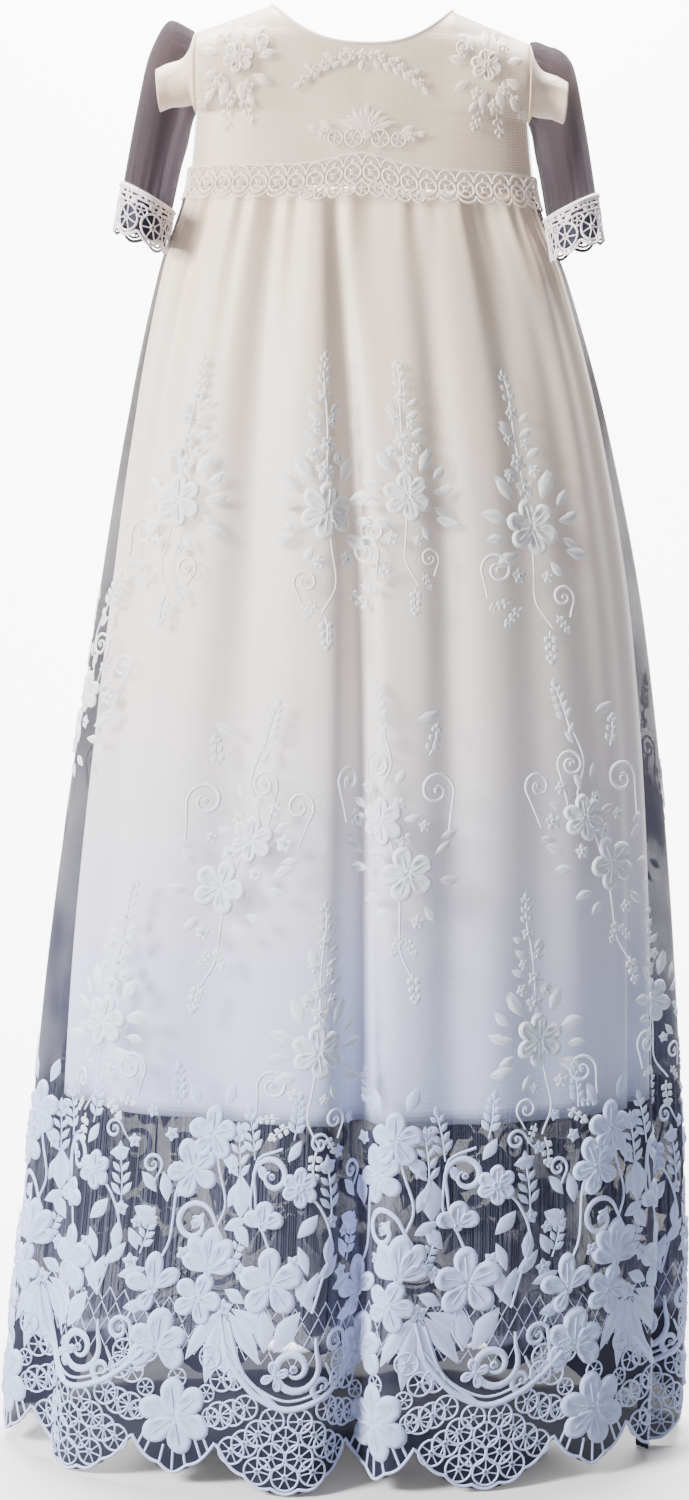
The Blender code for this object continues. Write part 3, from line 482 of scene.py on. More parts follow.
# The skirt net's inner colour is painted near black, as painted shade for the skirt's dark inside.
skirt_net = net_material("skirt net", (0.80, 0.68, 0.54), (0.55, 0.58, 0.90), (0.018, 0.017, 0.032),
                         (0.15, 0.03), 0.92, 0.96)
net_shares = np.concatenate([np.linspace(0, 0.08, 16), np.linspace(0.09, 1, 84)])
for side, start, end in (("front", -90, 90), ("back", 90, 270)):
    net = hung_cloth("overskirt_" + side + "_net", np.linspace(start + 0.05, end - 0.05, 480),
                     net_shares, net_point, skirt_net, slot="tulle")
    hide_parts("overskirt_" + side)
    u, share = np.meshgrid(np.linspace(start + 0.05, end - 0.05, 480), net_shares)
    depth = HEM_Z + openwork_top(hem_phase(u)) - net_height(u, share)
    # Marks where the net turns into the painted shade sheet.
    marked(net, "shade_sheet", np.clip(depth / SHADE_SHEET_FADE, 0, 1))

# White embroidery on the net: four staggered rows of flower sprays with scrolls, leaves and long
# stems, worked in soft cotton. Each motif is a small relief in millimetres over a flat piece of
# cloth, x to the right and y up, which is then laid on the skirt by the length of the cloth.

PAD_LINES = np.array([-1, -0.82, -0.55, 0, 0.55, 0.82, 1])
LEAF_LINES = np.array([-1, -0.55, 0, 0.55, 1])


def motif(x, y, height, faces, u, v, raised):
    """The arrays of one relief: points, faces, UV in metres, and 1 where the thread lies thick."""
    points = np.stack([x, y, height], axis=-1)
    return points, faces, np.stack([u, v], axis=-1) / 1000, np.broadcast_to(raised, x.shape).astype(float)


def disc(lines):
    """A square grid bent onto a disc of radius 1, all quads: x is a * sqrt(1 - b * b / 2)."""
    a, b = (grid.ravel() for grid in np.meshgrid(lines, lines))
    return a * np.sqrt(1 - b * b / 2), b * np.sqrt(1 - a * a / 2), grid_faces(len(lines), len(lines))


def petal(length, width, rim=1.1, fill=0.35, bend=0.0, narrow=0.45, solid=False):
    """A petal that grows from the origin along y, narrow at its root: a thick rim round a thin fill,
    or a fill of close stitches if it is solid."""
    x, y, faces = disc(PAD_LINES)
    reach, up = np.hypot(x, y), (y + 1) / 2
    height = np.interp(reach, (0, 0.55, 0.82, 1), (fill, fill * 0.8, rim, 0))
    px = x * width / 2 * (narrow + (1 - narrow) * np.sin(np.clip(up, 0, 1) * 2.0) / np.sin(1.9))
    fill_raised = (0.95 - 0.45 * np.clip(1 - up, 0, 1)) * 0.8 if solid else 0.0
    raised = np.where(reach > 0.7, 1.0, fill_raised)
    return motif(px + bend * up**2, up * length, height, faces, px, up * length, raised)


def leaf(length, width, bend=0.0, thick=1.0):
    """A padded leaf that grows from the origin along y, pointed at both ends, with a middle groove."""
    x, y, faces = disc(LEAF_LINES)
    up = (y + 1) / 2
    px = x * width / 2 * (1 - 0.75 * np.abs(y) ** 1.6)
    height = thick * np.clip(1 - np.hypot(x, y) ** 2, 0, 1) ** 0.6 * np.where(np.abs(x) < 0.1, 0.35, 1)
    raised = np.where(np.abs(x) < 0.1, 0.6, 1.0)
    return motif(px + bend * np.sin(up * 2.2), up * length, height, faces, up * length, px, raised)


def band(path, width, thick=0.8, closed=False, taper=False):
    """A cord of satin stitch along a path, five points across; its round top stands thick high."""
    path = np.asarray(path, float)
    ahead = np.roll(path, -1, axis=0) - np.roll(path, 1, axis=0) if closed else np.gradient(path, axis=0)
    ahead = ahead / np.maximum(np.linalg.norm(ahead, axis=1, keepdims=True), 1e-9)
    side = np.stack([ahead[:, 1], -ahead[:, 0]], axis=-1)
    share = np.linspace(0, 1, len(path))
    wide = width / 2 * (np.sin(np.pi * (0.12 + 0.78 * share)) if taper else np.ones(len(path)))
    across = np.array([-1, -0.55, 0, 0.55, 1])
    flat = path[:, None] + side[:, None] * (wide[:, None] * across)[..., None]
    height = np.broadcast_to(thick * np.array([0, 0.8, 1, 0.8, 0]), flat.shape[:2])
    length = length_along(path)
    u, v = np.broadcast_to(length[:, None], height.shape), (wide[:, None] * across)
    faces = grid_faces(len(path), 5)
    if closed:
        last = (len(path) - 1) * 5
        ends = np.array([[last + k, last + k + 1, k + 1, k] for k in range(4)])
        faces = np.concatenate([faces, ends])
    x, y = flat[..., 0].ravel(), flat[..., 1].ravel()
    return motif(x, y, height.ravel(), faces, u.ravel(), v.ravel(), 1.0)


def curve(points, count):
    """A smooth path through a few points: a monotone cubic of each coordinate."""
    points = np.asarray(points, float)
    known = np.arange(len(points), dtype=float)
    at = np.linspace(0, known[-1], count)
    return np.stack([eased(at, known, points[:, 0]), eased(at, known, points[:, 1])], axis=-1)


def circle(radius, count, x=0.0, y=0.0):
    """Points round a circle, counter-clockwise."""
    turn = np.arange(count) * math.tau / count
    return np.stack([x + radius * np.cos(turn), y + radius * np.sin(turn)], axis=-1)


def merged(rows):
    """One relief or tube from several: their arrays end to end, and each one's faces shifted on."""
    starts = np.cumsum([0] + [len(row[0]) for row in rows[:-1]])
    joined = [np.concatenate([row[k] for row in rows]) for k in range(len(rows[0]))]
    joined[1] = np.concatenate([row[1] + start for row, start in zip(rows, starts)])
    return tuple(joined)


class Needlework:
    """Motifs gathered into one relief; each is turned, sized, mirrored and put in its place."""

    def __init__(self):
        self.rows = []

    def add(self, made, x=0.0, y=0.0, turn=0.0, size=1.0, mirror=False, lift=0.0):
        points, faces, uv, raised = made
        c, s = math.cos(math.radians(turn)) * size, math.sin(math.radians(turn)) * size
        px = -points[:, 0] if mirror else points[:, 0]
        placed = np.stack([x + px * c - points[:, 1] * s, y + px * s + points[:, 1] * c,
                           points[:, 2] * min(size, 1.4) + lift], axis=-1)
        self.rows.append((placed, faces[:, ::-1] if mirror else faces, uv, raised))
        return self

    def scatter(self, made, places):
        for x, y, turn, size in places:
            self.add(made, x, y, turn, size)

    def joined(self):
        return merged(self.rows)


def floret(radius, petals=5, turn=0.0):
    """A small flower of padded petals with no outline."""
    work = Needlework()
    for k in range(petals):
        work.add(leaf(radius, radius * 0.75, 0, 0.9), 0, 0, turn + 360 / petals * k)
    work.add(petal(radius * 0.6, radius * 0.6, 1.2, 0.8, narrow=0.9), 0, -radius * 0.3, lift=0.2)
    return work.joined()


def lily(petals, heart=3.0):
    """A large open flower from a list of petals: angle, length and width, in solid satin stitch with
    raised edges and a rib down the middle, round a knotted heart."""
    work = Needlework()
    for k, (angle, length, width) in enumerate(petals):
        filled = petal(length, width, 2.3, 0.7, length * 0.06 * (-1) ** k, 0.34, True)
        work.add(filled, 0, 0, angle, lift=0.15 * (k % 3))
        rib = band([(0, length * 0.18), (length * 0.02 * (-1) ** k, length * 0.72)], 1.1, 0.9)
        work.add(rib, 0, 0, angle, lift=0.7)
    knot = petal(2 * heart, 2 * heart, 1.8, 1.2, narrow=0.9, solid=True)
    return work.add(knot, 0, -heart, lift=0.5).joined()


def scroll(radius, turns=1.35, width=2.4, tail=14.0):
    """A C-scroll: a tail that winds up into a spiral, with a small eye in the middle."""
    t = np.linspace(0, 1, 30)
    reach = radius * (1 - 0.76 * t)
    path = np.stack([reach * np.cos(t * turns * math.tau), reach * np.sin(t * turns * math.tau)], axis=-1)
    back = 1 - np.linspace(0, 1, 6)[:-1]
    lead = np.stack([radius + 0.12 * radius * back**2, -tail * back], axis=-1)
    work = Needlework().add(band(np.concatenate([lead, path]), width, 0.9, taper=True))
    eye = radius * 0.17
    return work.add(petal(2 * eye, 2 * eye, 1.0, 0.8, narrow=0.9), 0, -eye, lift=0.1).joined()


def sprig(length, leaves=4, width=4.2, spread=42):
    """A short stem with pairs of leaves and one at the tip."""
    work = Needlework().add(band(curve([(0, 0), (0.8, length * 0.5), (0, length)], 8), 1.2, 0.6))
    for k in range(leaves):
        up = length * (0.18 + 0.66 * k / max(leaves - 1, 1))
        small = leaf(length * 0.30 * (1.1 - 0.12 * k), width * (1 - 0.07 * k))
        for hand in (-1, 1):
            work.add(small, hand * 0.4, up, -hand * spread)
    return work.add(leaf(length * 0.30, width), 0, length * 0.92).joined()


def wheel(radius, spokes=7, thread=1.5, hub=0.24, first=-116.0):
    """A needlepoint wheel: a corded ring, a hub, and bare spokes between them."""
    work = Needlework().add(band(circle(radius - thread / 2, 20), thread, 0.9, closed=True))
    for k in range(spokes):
        angle = math.radians(first + 360 / spokes * k)
        reach = (hub * 0.8, 1 - thread / radius)
        ends = [(radius * r * math.cos(angle), radius * r * math.sin(angle)) for r in reach]
        work.add(band(ends, thread * 0.62, 0.5))
    across = 2 * radius * hub
    return work.add(petal(across, across, 1.0, 0.7, narrow=0.95), 0, -radius * hub).joined()


def spray(kind):
    """One flower spray of the skirt, about 170 mm high, its largest flower at the origin. The first
    kind climbs as a column over one flower; the second bears two flowers under a sprig and a spiral."""
    work = Needlework()
    if kind == "column":
        work.add(lily([(k * 60 + 8, 18.5, 13) for k in range(6)], 3.2), 0, 0, lift=0.2)
        work.scatter(leaf(16, 8, 1.4, 1.2), [
            (-11, 17, 34, 1.2), (-16, 5, 78, 1.2), (10, 17, -20, 1.3), (-12, -16, 118, 1.2)])
        for x, y, radius, turn in (
                (0.5, 25, 7.5, 0), (-1.5, 41, 6.5, 30), (0.5, 72, 5.5, 12), (-9, 33, 5.0, 10),
                (9, 35, 5.0, 40), (-5, 56, 5.0, 20), (6, 52, 4.5, 50)):
            work.add(floret(radius, 5, turn), x, y)
        for x, y, turn, length in (
                (-20, -6, 96, 14), (19, 3, -80, 14), (20, -8, -112, 13), (-4, 30, 60, 12), (5, 44, -56, 12),
                (-3, 60, 52, 11), (4, 66, -50, 10), (9, -22, -140, 13)):
            work.add(leaf(length, length * 0.46, 1.2, 1.1), x, y, turn)
        stem = curve([(4, -64), (-5, -44), (-2, -20), (0, 18), (-1, 50), (1, 88)], 26)
        work.add(band(stem, 1.5, 0.6))
        work.add(sprig(20, 3, 4.0), 1, 76, 4)
        work.scatter(leaf(12, 5.6, 1.2), [
            (-3, 56, 52, 1.0), (2, 56, -52, 1.0), (-4, 33, 74, 0.8), (4, 33, -70, 0.8), (20, 12, -38, 1.25),
            (22, 2, -62, 1.3), (21, -16, -96, 1.5), (14, 24, -30, 1.0)])
        work.add(scroll(11, 1.4, 2.6, 16), -29, -25, 8, mirror=True)
        work.add(scroll(8.0, 1.3, 2.2, 10), 14, -45, -30)
        work.scatter(sprig(15, 3, 4.0), [
            (-16, -50, 128, 1.0), (-24, -46, 100, 0.85), (2, -66, 176, 1.2), (8, -56, -150, 0.8)])
        work.add(floret(6, 5), -14, -30).add(floret(4.6, 5), 6, -32)
    else:
        work.add(lily([(k * 72 + 16, 18, 14) for k in range(5)], 3.0), 0, 0, lift=0.2)
        work.add(lily([(k * 60, 15.5, 11) for k in range(6)], 2.6), -16, 33, lift=0.2)
        work.add(sprig(26, 4, 4.8), -14, 92, 8)
        work.add(scroll(9.5, 1.5, 2.3, 24), -18, 68, 6, mirror=True)
        stem = curve([(2, -66), (-6, -44), (-5, -14), (-10, 20), (-18, 46), (-8, 70), (-14, 96)], 30)
        work.add(band(stem, 1.5, 0.6))
        work.add(scroll(12, 1.3, 2.6, 26), 20, 52, -12)
        work.add(scroll(9.5, 1.3, 2.4, 24), -44, 58, 16, mirror=True)
        work.add(sprig(18, 3, 4.4), 16, 74, -18, 1.0).add(leaf(17, 7, 2), 8, 96, -64, 1.0)
        work.scatter(leaf(13, 5.8, 1.4), [
            (-34, 12, 64, 1.2), (-30, 2, 92, 1.1), (18, 12, -48, 1.1), (20, -4, -84, 1.15),
            (-12, -22, 128, 1.1), (10, -20, -132, 1.1), (-30, 40, 60, 0.9)])
        work.add(floret(6.5, 5), -38, 34).add(floret(5.2, 5), 6, -30).add(floret(4.5, 5), 12, 30)
        for x, y, radius, turn in (
                (-2, 22, 6.0, 20), (-22, 12, 5.5, 0), (-4, 44, 5.0, 30), (-28, 54, 5.0, 10)):
            work.add(floret(radius, 5, turn), x, y)
        for x, y, turn, length in (
                (-14, 50, 20, 13), (-6, 56, -24, 12), (-20, -14, 110, 14), (22, 22, -62, 13),
                (-38, 22, 84, 12), (-2, 34, -70, 12), (-12, 80, 40, 11), (-16, 86, -30, 10)):
            work.add(leaf(length, length * 0.46, 1.2, 1.1), x, y, turn)
        work.scatter(sprig(14, 3, 4.0), [
            (-4, -38, 150, 0.9), (-2, -40, -150, 0.8), (2, -62, 186, 1.2)])
    return work.joined()


def laid_on(cloth, relief):
    """The relief on the cloth: each point moves out along the cloth's own normal by its height."""
    x, y, height = relief[0].T
    right = cloth(x + 0.5, y) - cloth(x - 0.5, y)
    up = cloth(x, y + 0.5) - cloth(x, y - 0.5)
    normal = np.cross(right, up)
    normal = normal / np.maximum(np.linalg.norm(normal, axis=-1, keepdims=True), 1e-9)
    return cloth(x, y) + normal * (height[:, None] + 0.15)


def embroidered(name, reliefs, material, **facts):
    """One piece from many (relief, cloth) pairs; the attribute raised tells thick thread from thin."""
    points, faces, uvs, raised = merged([(laid_on(cloth, relief), *relief[1:]) for relief, cloth in reliefs])
    return marked(piece(name, points, faces, uvs, material, **facts), "raised", raised)


def near_on_skirt(x, z, back=False):
    """The cloth angle whose point at height z hangs nearest to x, on the front or the back."""
    u = np.linspace(95, 265, 1361) if back else np.linspace(-86, 86, 1377)
    ring = hung(skirt_point(u, np.full(u.shape, float(z))))
    deep = np.abs(ring[:, 1])
    return u[np.argmin(np.abs(ring[:, 0] - x) + 0.15 * deep.max() - 0.15 * deep)]


def skirt_cloth(x, z, back=False):
    """A flat piece of the overskirt round one place: lengths along the cloth to the right, and up."""
    start = near_on_skirt(x, z, back)
    u = np.linspace(-150, 330, 3841)
    ring = skirt_point(u, np.full(u.shape, float(z)))
    length = length_along(ring)
    centre, wide = np.interp(start, u, length), girth(z, "half_width")

    def cloth(right, up):
        at = np.interp(centre + right * wide / girth(z + up, "half_width"), length, u)
        return skirt_point(at, np.minimum(z + up, WAIST_Z - 3.0))

    return cloth


def thread_material(name, warm, cool, fill_alpha, ladder):
    """Cotton thread: thick where raised, with fine stitches across; thin fillings show the ground
    between ladder stitches. Thin thread is painted darker and the thread's inner side near black,
    both as painted shade. It casts only a faint shadow on the cloth below."""
    s = Shader(name)
    shader = s.tree.nodes["Principled BSDF"]
    raised = s.node("ShaderNodeAttribute", attribute_name="raised").outputs["Fac"]
    tint = s.tinted(warm, [(a + b) / 2 for a, b in zip(warm, cool)], cool)
    s.woven((13000.0, 900.0), 0.5, 0.35, 0.0003)
    rungs = s.number("SINE", s.number("MULTIPLY", s.along_axes("UV")[1]["Y"], ladder))
    shown = s.ranged(rungs, -0.2, 0.3, *fill_alpha)
    solid = s.ranged(raised, 0.2, 0.45)
    seen = s.node("ShaderNodeLightPath").outputs["Is Camera Ray"]
    s.join(s.number("MULTIPLY", s.number("MAXIMUM", solid, shown),
                    s.number("MULTIPLY_ADD", seen, 0.65, 0.35)), shader.inputs["Alpha"])
    # Painted shade: thin stitches take a darker copy of the thread colour, and thick raised thread takes the
    # full colour.
    thin = s.node("ShaderNodeVectorMath", operation="SCALE")
    s.join(tint.outputs["Color"], thin.inputs[0])
    s.join(s.number("MULTIPLY_ADD", raised, 0.46, 0.54), thin.inputs["Scale"])
    # Painted shade: the thread's inner side is painted near black.
    inside = s.node("ShaderNodeNewGeometry").outputs["Backfacing"]
    s.join(s.mix(inside, thin.outputs[0], (0.045, 0.045, 0.075, 1)), shader.inputs["Base Color"])
    shader.inputs["Roughness"].default_value = 0.62
    shader.inputs["Sheen Weight"].default_value = 0.25
    shader.inputs["Specular IOR Level"].default_value = 0.3
    return s.material


cotton = thread_material("white cotton", (1.0, 0.95, 0.90), (0.74, 0.82, 1.0), (0.30, 0.85), 5200.0)
# kind, x and height of the main flower on the gown, size, turned over, lean
SPRAYS = {
    "front": [
        ("column", -117, -318, 0.92, False, 4), ("column", -22, -322, 1.0, True, 1),
        ("column", 28, -312, 0.86, False, -1), ("column", 107, -330, 1.0, False, -4),
        ("spiral", -90, -560, 1.0, True, 6), ("spiral", 28, -548, 1.0, False, -1),
        ("spiral", 160, -545, 1.0, False, -8), ("column", -166, -650, 0.95, True, 8),
        ("column", -28, -660, 0.95, False, 2), ("column", 112, -655, 0.95, True, -5),
        ("column", 190, -640, 0.85, False, -9), ("spiral", -190, -470, 0.9, True, 10)],
    "back": [
        ("column", -107, -325, 0.95, False, 4), ("column", 0, -325, 1.0, True, 0),
        ("column", 107, -325, 0.95, True, -4), ("spiral", -150, -545, 1.0, False, 7),
        ("spiral", -38, -550, 1.0, True, 2), ("spiral", 82, -550, 1.0, False, -4),
        ("spiral", 180, -540, 0.95, True, -8), ("column", -100, -655, 0.95, True, 5),
        ("column", 30, -655, 0.95, False, -2), ("column", 140, -650, 0.95, True, -6)]}
kinds = {kind: spray(kind) for kind in ("column", "spiral")}
for side, rows in SPRAYS.items():
    reliefs = []
    for kind, x, z, size, mirror, lean in rows:
        turned = Needlework().add(kinds[kind], 0, 0, -lean, size, mirror != (side == "back")).joined()
        reliefs.append((turned, skirt_cloth(x, z, side == "back")))
    embroidered("overskirt_sprays_" + side, reliefs, cotton, slot="tulle")

# The lace border: eight repeats of scalloped needle lace, each a bow of fish-scale wheels under a
# corded arc and a flower scallop beside it, with scrolls, leaves and flowers climbing the net above.

FAN_WIDTH, FLOWER_WIDTH = FAN_SHARE * REPEAT, (1 - FAN_SHARE) * REPEAT


def border_lobes(phase):
    """Small lobes along the scalloped edge, one under each wheel and three under the flower."""
    phase = np.asarray(phase, float) % 1
    fan = np.abs(np.sin(math.pi * (phase - FAN_SHARE / 2 + FAN_PITCH / 2) / FAN_PITCH))
    flower = np.abs(np.sin(math.pi * 3 * (phase - FAN_SHARE) / (1 - FAN_SHARE)))
    return 2.6 * (1 - np.where(phase < FAN_SHARE, fan, flower))


def border_repeat():
    """One repeat of the border: x from the start of its fan bow, y above its lowest tip."""
    work = Needlework()
    edge_x = np.linspace(0, REPEAT, 110)
    edge_phase = np.clip(edge_x / REPEAT, 0, 0.9999)
    edge_y = border_edge(edge_phase) + border_lobes(edge_phase) + 1.2
    work.add(band(np.stack([edge_x, edge_y], axis=-1), 2.2, 1.0))
    middle, pitch = FAN_WIDTH / 2, FAN_PITCH * REPEAT
    rows = (((-2, -1, 0, 1, 2), 12.0, 9.4, 7), ((-2.5, -1.5, -0.5, 0.5, 1.5, 2.5), 24.4, 9.4, 7),
            ((-2, -1, 0, 1, 2), 36.6, 9.0, 7), ((-2.5, -1.5, -0.5, 0.5, 1.5, 2.5), 48.0, 8.4, 6),
            ((-3, -2, 2, 3), 59.0, 8.0, 6))
    for k, (places, rise, radius, spokes) in enumerate(rows):
        for place in places:
            x = middle + place * pitch
            y = float(border_edge(np.clip(x / REPEAT, 0.001, FAN_SHARE))) + rise
            work.add(wheel(radius, spokes), x, y, lift=0.25 * k)
    arc = [(4, 88), (13, 77), (26, 64), (middle, 56), (FAN_WIDTH - 26, 62), (FAN_WIDTH - 8, 74),
           (FAN_WIDTH + 4, 86)]
    work.add(band(curve(arc, 40), 4.2, 1.5), lift=1.0)
    work.add(band(curve([(x, y + 5.4) for x, y in arc], 40), 1.8, 1.0), lift=0.6)
    flower_x = FAN_WIDTH + FLOWER_WIDTH / 2
    for x, y in ((-24, 36), (-19, 27), (-9, 15), (0, 11), (9, 15), (19, 27), (24, 36)):
        start = (flower_x + x * 0.72, 44 + (y - 44) * 0.62)
        foot = float(border_edge((flower_x + x) / REPEAT)) + 3.0
        work.add(band([start, (flower_x + x, max(foot, y * 0.6))], 1.8, 0.7))
    for x, y, radius in ((-25, 47, 6.6), (25, 47, 6.6), (-21, 62, 6.0), (21, 62, 6.0), (0, 70, 6.6)):
        work.add(wheel(radius, 6, 1.3), flower_x + x, y, lift=0.3)
    # scrolls that stand on the arc, with a star and a meshed wheel between them
    work.add(scroll(16.5, 1.42, 5.2, 16), 50, 82, 196, mirror=True, lift=0.8)
    work.add(scroll(9.5, 1.3, 4.2, 12), 69, 70, 215, mirror=True, lift=0.6)
    work.add(scroll(8.5, 1.2, 3.6, 14), 79, 98, 20, lift=0.5).add(wheel(8.5, 8, 1.6), 84, 84, lift=0.3)
    work.add(lily([(k * 90 + 20, 10, 6.4) for k in range(4)], 1.8), 38, 77, lift=0.4)
    for start, end in (
            ((-2, 112), (26, 62)), ((4, 110), (40, 58)), ((86, 104), (95, 72)), ((92, 74), (104, 84))):
        bent = ((start[0] * 0.7 + end[0] * 0.3) + 1, (start[1] + end[1]) / 2 - 5)
        work.add(band(curve([start, bent, end], 14), 2.6, 1.0), lift=0.5)
    # large flowers: petals as angle, length and width
    five = [(8, 21, 15), (76, 20, 15), (146, 21, 15), (-142, 21, 15), (-66, 21, 16)]
    for petals, x, y in (
            (five, 31, 136), ([(k * 60 + 12, 23, 16) for k in range(6)], FAN_WIDTH + FLOWER_WIDTH / 2, 45),
            ([(0, 24, 17), (52, 20, 14), (-54, 20, 14), (112, 19, 15), (-112, 19, 15)], 106, 88),
            ([(6, 22, 12), (70, 19, 12), (-48, 19, 11), (150, 15, 10)], 100, 126),
            ([(k * 72 - 20, 16, 12) for k in range(5)], 131, 122),
            ([(0, 26, 15), (30, 24, 13), (-32, 24, 13), (64, 19, 11), (-66, 19, 11)], 137, 140),
            ([(24, 19, 13), (96, 17, 12), (168, 17, 12), (-120, 17, 12), (-48, 18, 13)], 121, 204),
            ([(0, 15, 13), (58, 14, 11), (-58, 14, 11)], 24, 172),
            ([(k * 60, 12, 9) for k in range(6)], 49, 198),
            ([(k * 72, 17, 13) for k in range(5)], 134, 228)):
        work.add(lily(petals), x, y, 0, 1.1, lift=0.35)
    # the palmette of long leaves, and leaves and sprigs round it: x, y, turn, length, width, bend
    for x, y, turn, length, width, bend in (
            (-3, 116, 150, 36, 10, 2), (-2, 114, 172, 42, 11, 1), (0, 114, -168, 44, 11, -1),
            (3, 116, -146, 36, 11, -2), (5, 118, -122, 32, 11, -2), (7, 176, 6, 25, 14, 2),
            (30, 92, 8, 25, 12, 1), (36, 92, -34, 28, 13, -2), (52, 122, -22, 22, 9, 2),
            (60, 118, 18, 26, 10, -2), (62, 138, -40, 20, 8, 2), (70, 146, -6, 20, 8, -1),
            (56, 142, 24, 18, 7, 1), (74, 132, -68, 18, 8, 1), (98, 168, 62, 17, 11, 1),
            (104, 182, 14, 18, 8, 1), (108, 186, -48, 17, 8, 1), (96, 188, 44, 15, 7, 1),
            (146, 168, -60, 16, 8, 1), (148, 182, -20, 17, 8, 1), (14, 158, 40, 17, 9, 1),
            (48, 166, -40, 18, 9, 1), (80, 112, -74, 14, 8, 1), (14, 122, 66, 15, 8, 1),
            (86, 150, 30, 14, 7, 1), (112, 108, 150, 16, 9, 1), (148, 92, -150, 17, 9, 1),
            (40, 214, -30, 15, 7, 1), (60, 210, -70, 14, 7, 1), (142, 246, -20, 16, 8, 1),
            (122, 244, 28, 15, 8, 1), (4, 206, 60, 14, 7, 1)):
        work.add(leaf(length * 1.12, width * 1.12, bend, 1.25), x, y, turn, lift=0.15)
    work.add(scroll(13.5, 1.2, 4.0, 18), 29, 204, 12, mirror=True, lift=0.3)
    work.add(leaf(13, 7, 2, 1.2), 25, 200, 40, lift=0.2)
    work.add(scroll(14.5, 1.25, 4.0, 16), 124, 170, 24, lift=0.3)
    work.add(leaf(14, 7, 2, 1.2), 122, 166, -30, lift=0.2)
    work.add(scroll(7, 1.3, 2.6, 10), 92, 206, -30, lift=0.2)
    work.add(scroll(6.5, 1.3, 2.4, 10), 62, 226, 30, lift=0.2)
    for points in (
            [(31, 152), (24, 168), (14, 186), (18, 214), (36, 222)],
            [(100, 140), (108, 160), (110, 190), (121, 208)],
            [(60, 118), (66, 140), (72, 162), (64, 184), (49, 198)],
            [(137, 162), (146, 184), (140, 206), (134, 228)], [(84, 106), (90, 118), (100, 126)],
            [(30, 92), (22, 108), (31, 130)]):
        work.add(band(curve(points, 18), 1.9, 0.8), lift=0.1)
    for x, y, radius in (
            (72, 176, 5.5), (84, 168, 4.5), (78, 220, 5.0), (104, 226, 5.0), (6, 232, 5.0), (150, 208, 5.0),
            (82, 142, 6.0), (10, 142, 6.0), (150, 118, 6.0), (46, 150, 5.5), (118, 150, 5.5),
            (90, 240, 4.5)):
        work.add(floret(radius, 5, x), x, y, lift=0.1)
    # sprigs that climb between the flowers
    for x, y, turn, length in (
            (72, 178, 6, 34), (88, 148, -14, 26), (16, 214, 10, 30), (156, 196, 4, 34), (44, 228, -8, 26),
            (108, 244, 6, 24), (150, 142, -24, 24)):
        work.add(sprig(length, 4, 4.6), x, y, turn, lift=0.1)
    # bare bars that join the motifs over the arc, as zigzags
    for row, (low, high) in enumerate(((84, 93), (94, 103), (104, 113), (114, 122))):
        bar_x = np.arange(2.0, REPEAT - 2.0, 5.2)
        bar_y = np.where((np.arange(len(bar_x)) + row) % 2, low, high) + 2.0 * np.sin(bar_x * 0.11)
        work.add(band(np.stack([bar_x, bar_y], axis=-1), 1.1, 0.5))
    return work.joined()


lace_thread = thread_material("lace thread", (0.92, 0.80, 0.80), (0.56, 0.65, 1.0), (0.18, 0.85), 4200.0)
repeat = border_repeat()


def border_cloth(offset):
    """The hem of the overskirt as a flat strip: length from the start of one repeat, and height."""

    def cloth(right, up):
        at = np.interp((right + offset) % hem_length[-1], hem_length, hem_u)
        return skirt_point(at, HEM_Z + up)

    return cloth


sides = {"front": [], "back": []}
for number in range(BORDER_REPEATS):
    cloth = border_cloth((number + BORDER_PHASE) * REPEAT)
    middle_x = repeat[0][:, 0][repeat[1]].mean(axis=1)
    at = np.interp((middle_x + (number + BORDER_PHASE) * REPEAT) % hem_length[-1], hem_length, hem_u)
    for side, chosen in (("front", at < 90), ("back", at >= 90)):
        if chosen.any():
            used, faces = np.unique(repeat[1][chosen], return_inverse=True)
            part = (repeat[0][used], faces.reshape(-1, 4), repeat[2][used], repeat[3][used])
            sides[side].append((part, cloth))
for side, reliefs in sides.items():
    embroidered("hem_lace_" + side, reliefs, lace_thread, slot="guipure")

# The bodice: a fitted satin front and two backs, each covered with fine net, a round neck faced with
# a narrow cord, and a back opening. Net and satin are cut alike and seamed together at the waist.

NECK_HALF_WIDTH, SHOULDER_TIP_X, SHOULDER_TIP_Z, UNDERARM_Z = 57.5, 107.0, -19.0, -70.0
NECK_DROP = {-1: 27.0, 1: 24.0}


def bodice_half_width(z):
    """From the flat armhole's plane out to the waist."""
    return np.where(z > UNDERARM_Z, SHOULDER_TIP_X + 1.0, girth(z, "half_width"))


def bodice_top(across, side):
    """Height of the neckline or the shoulder seam, and the share of the seam inside it."""
    neck_share = NECK_HALF_WIDTH / SHOULDER_TIP_X
    at_neck = np.clip(np.abs(across) / neck_share, 0, 1)
    past_neck = np.clip((np.abs(across) - neck_share) / (1 - neck_share), 0, 1)
    neckline = -NECK_DROP[side] * (1 - at_neck**2.6)
    return np.where(at_neck < 1, neckline, SHOULDER_TIP_Z * past_neck), past_neck


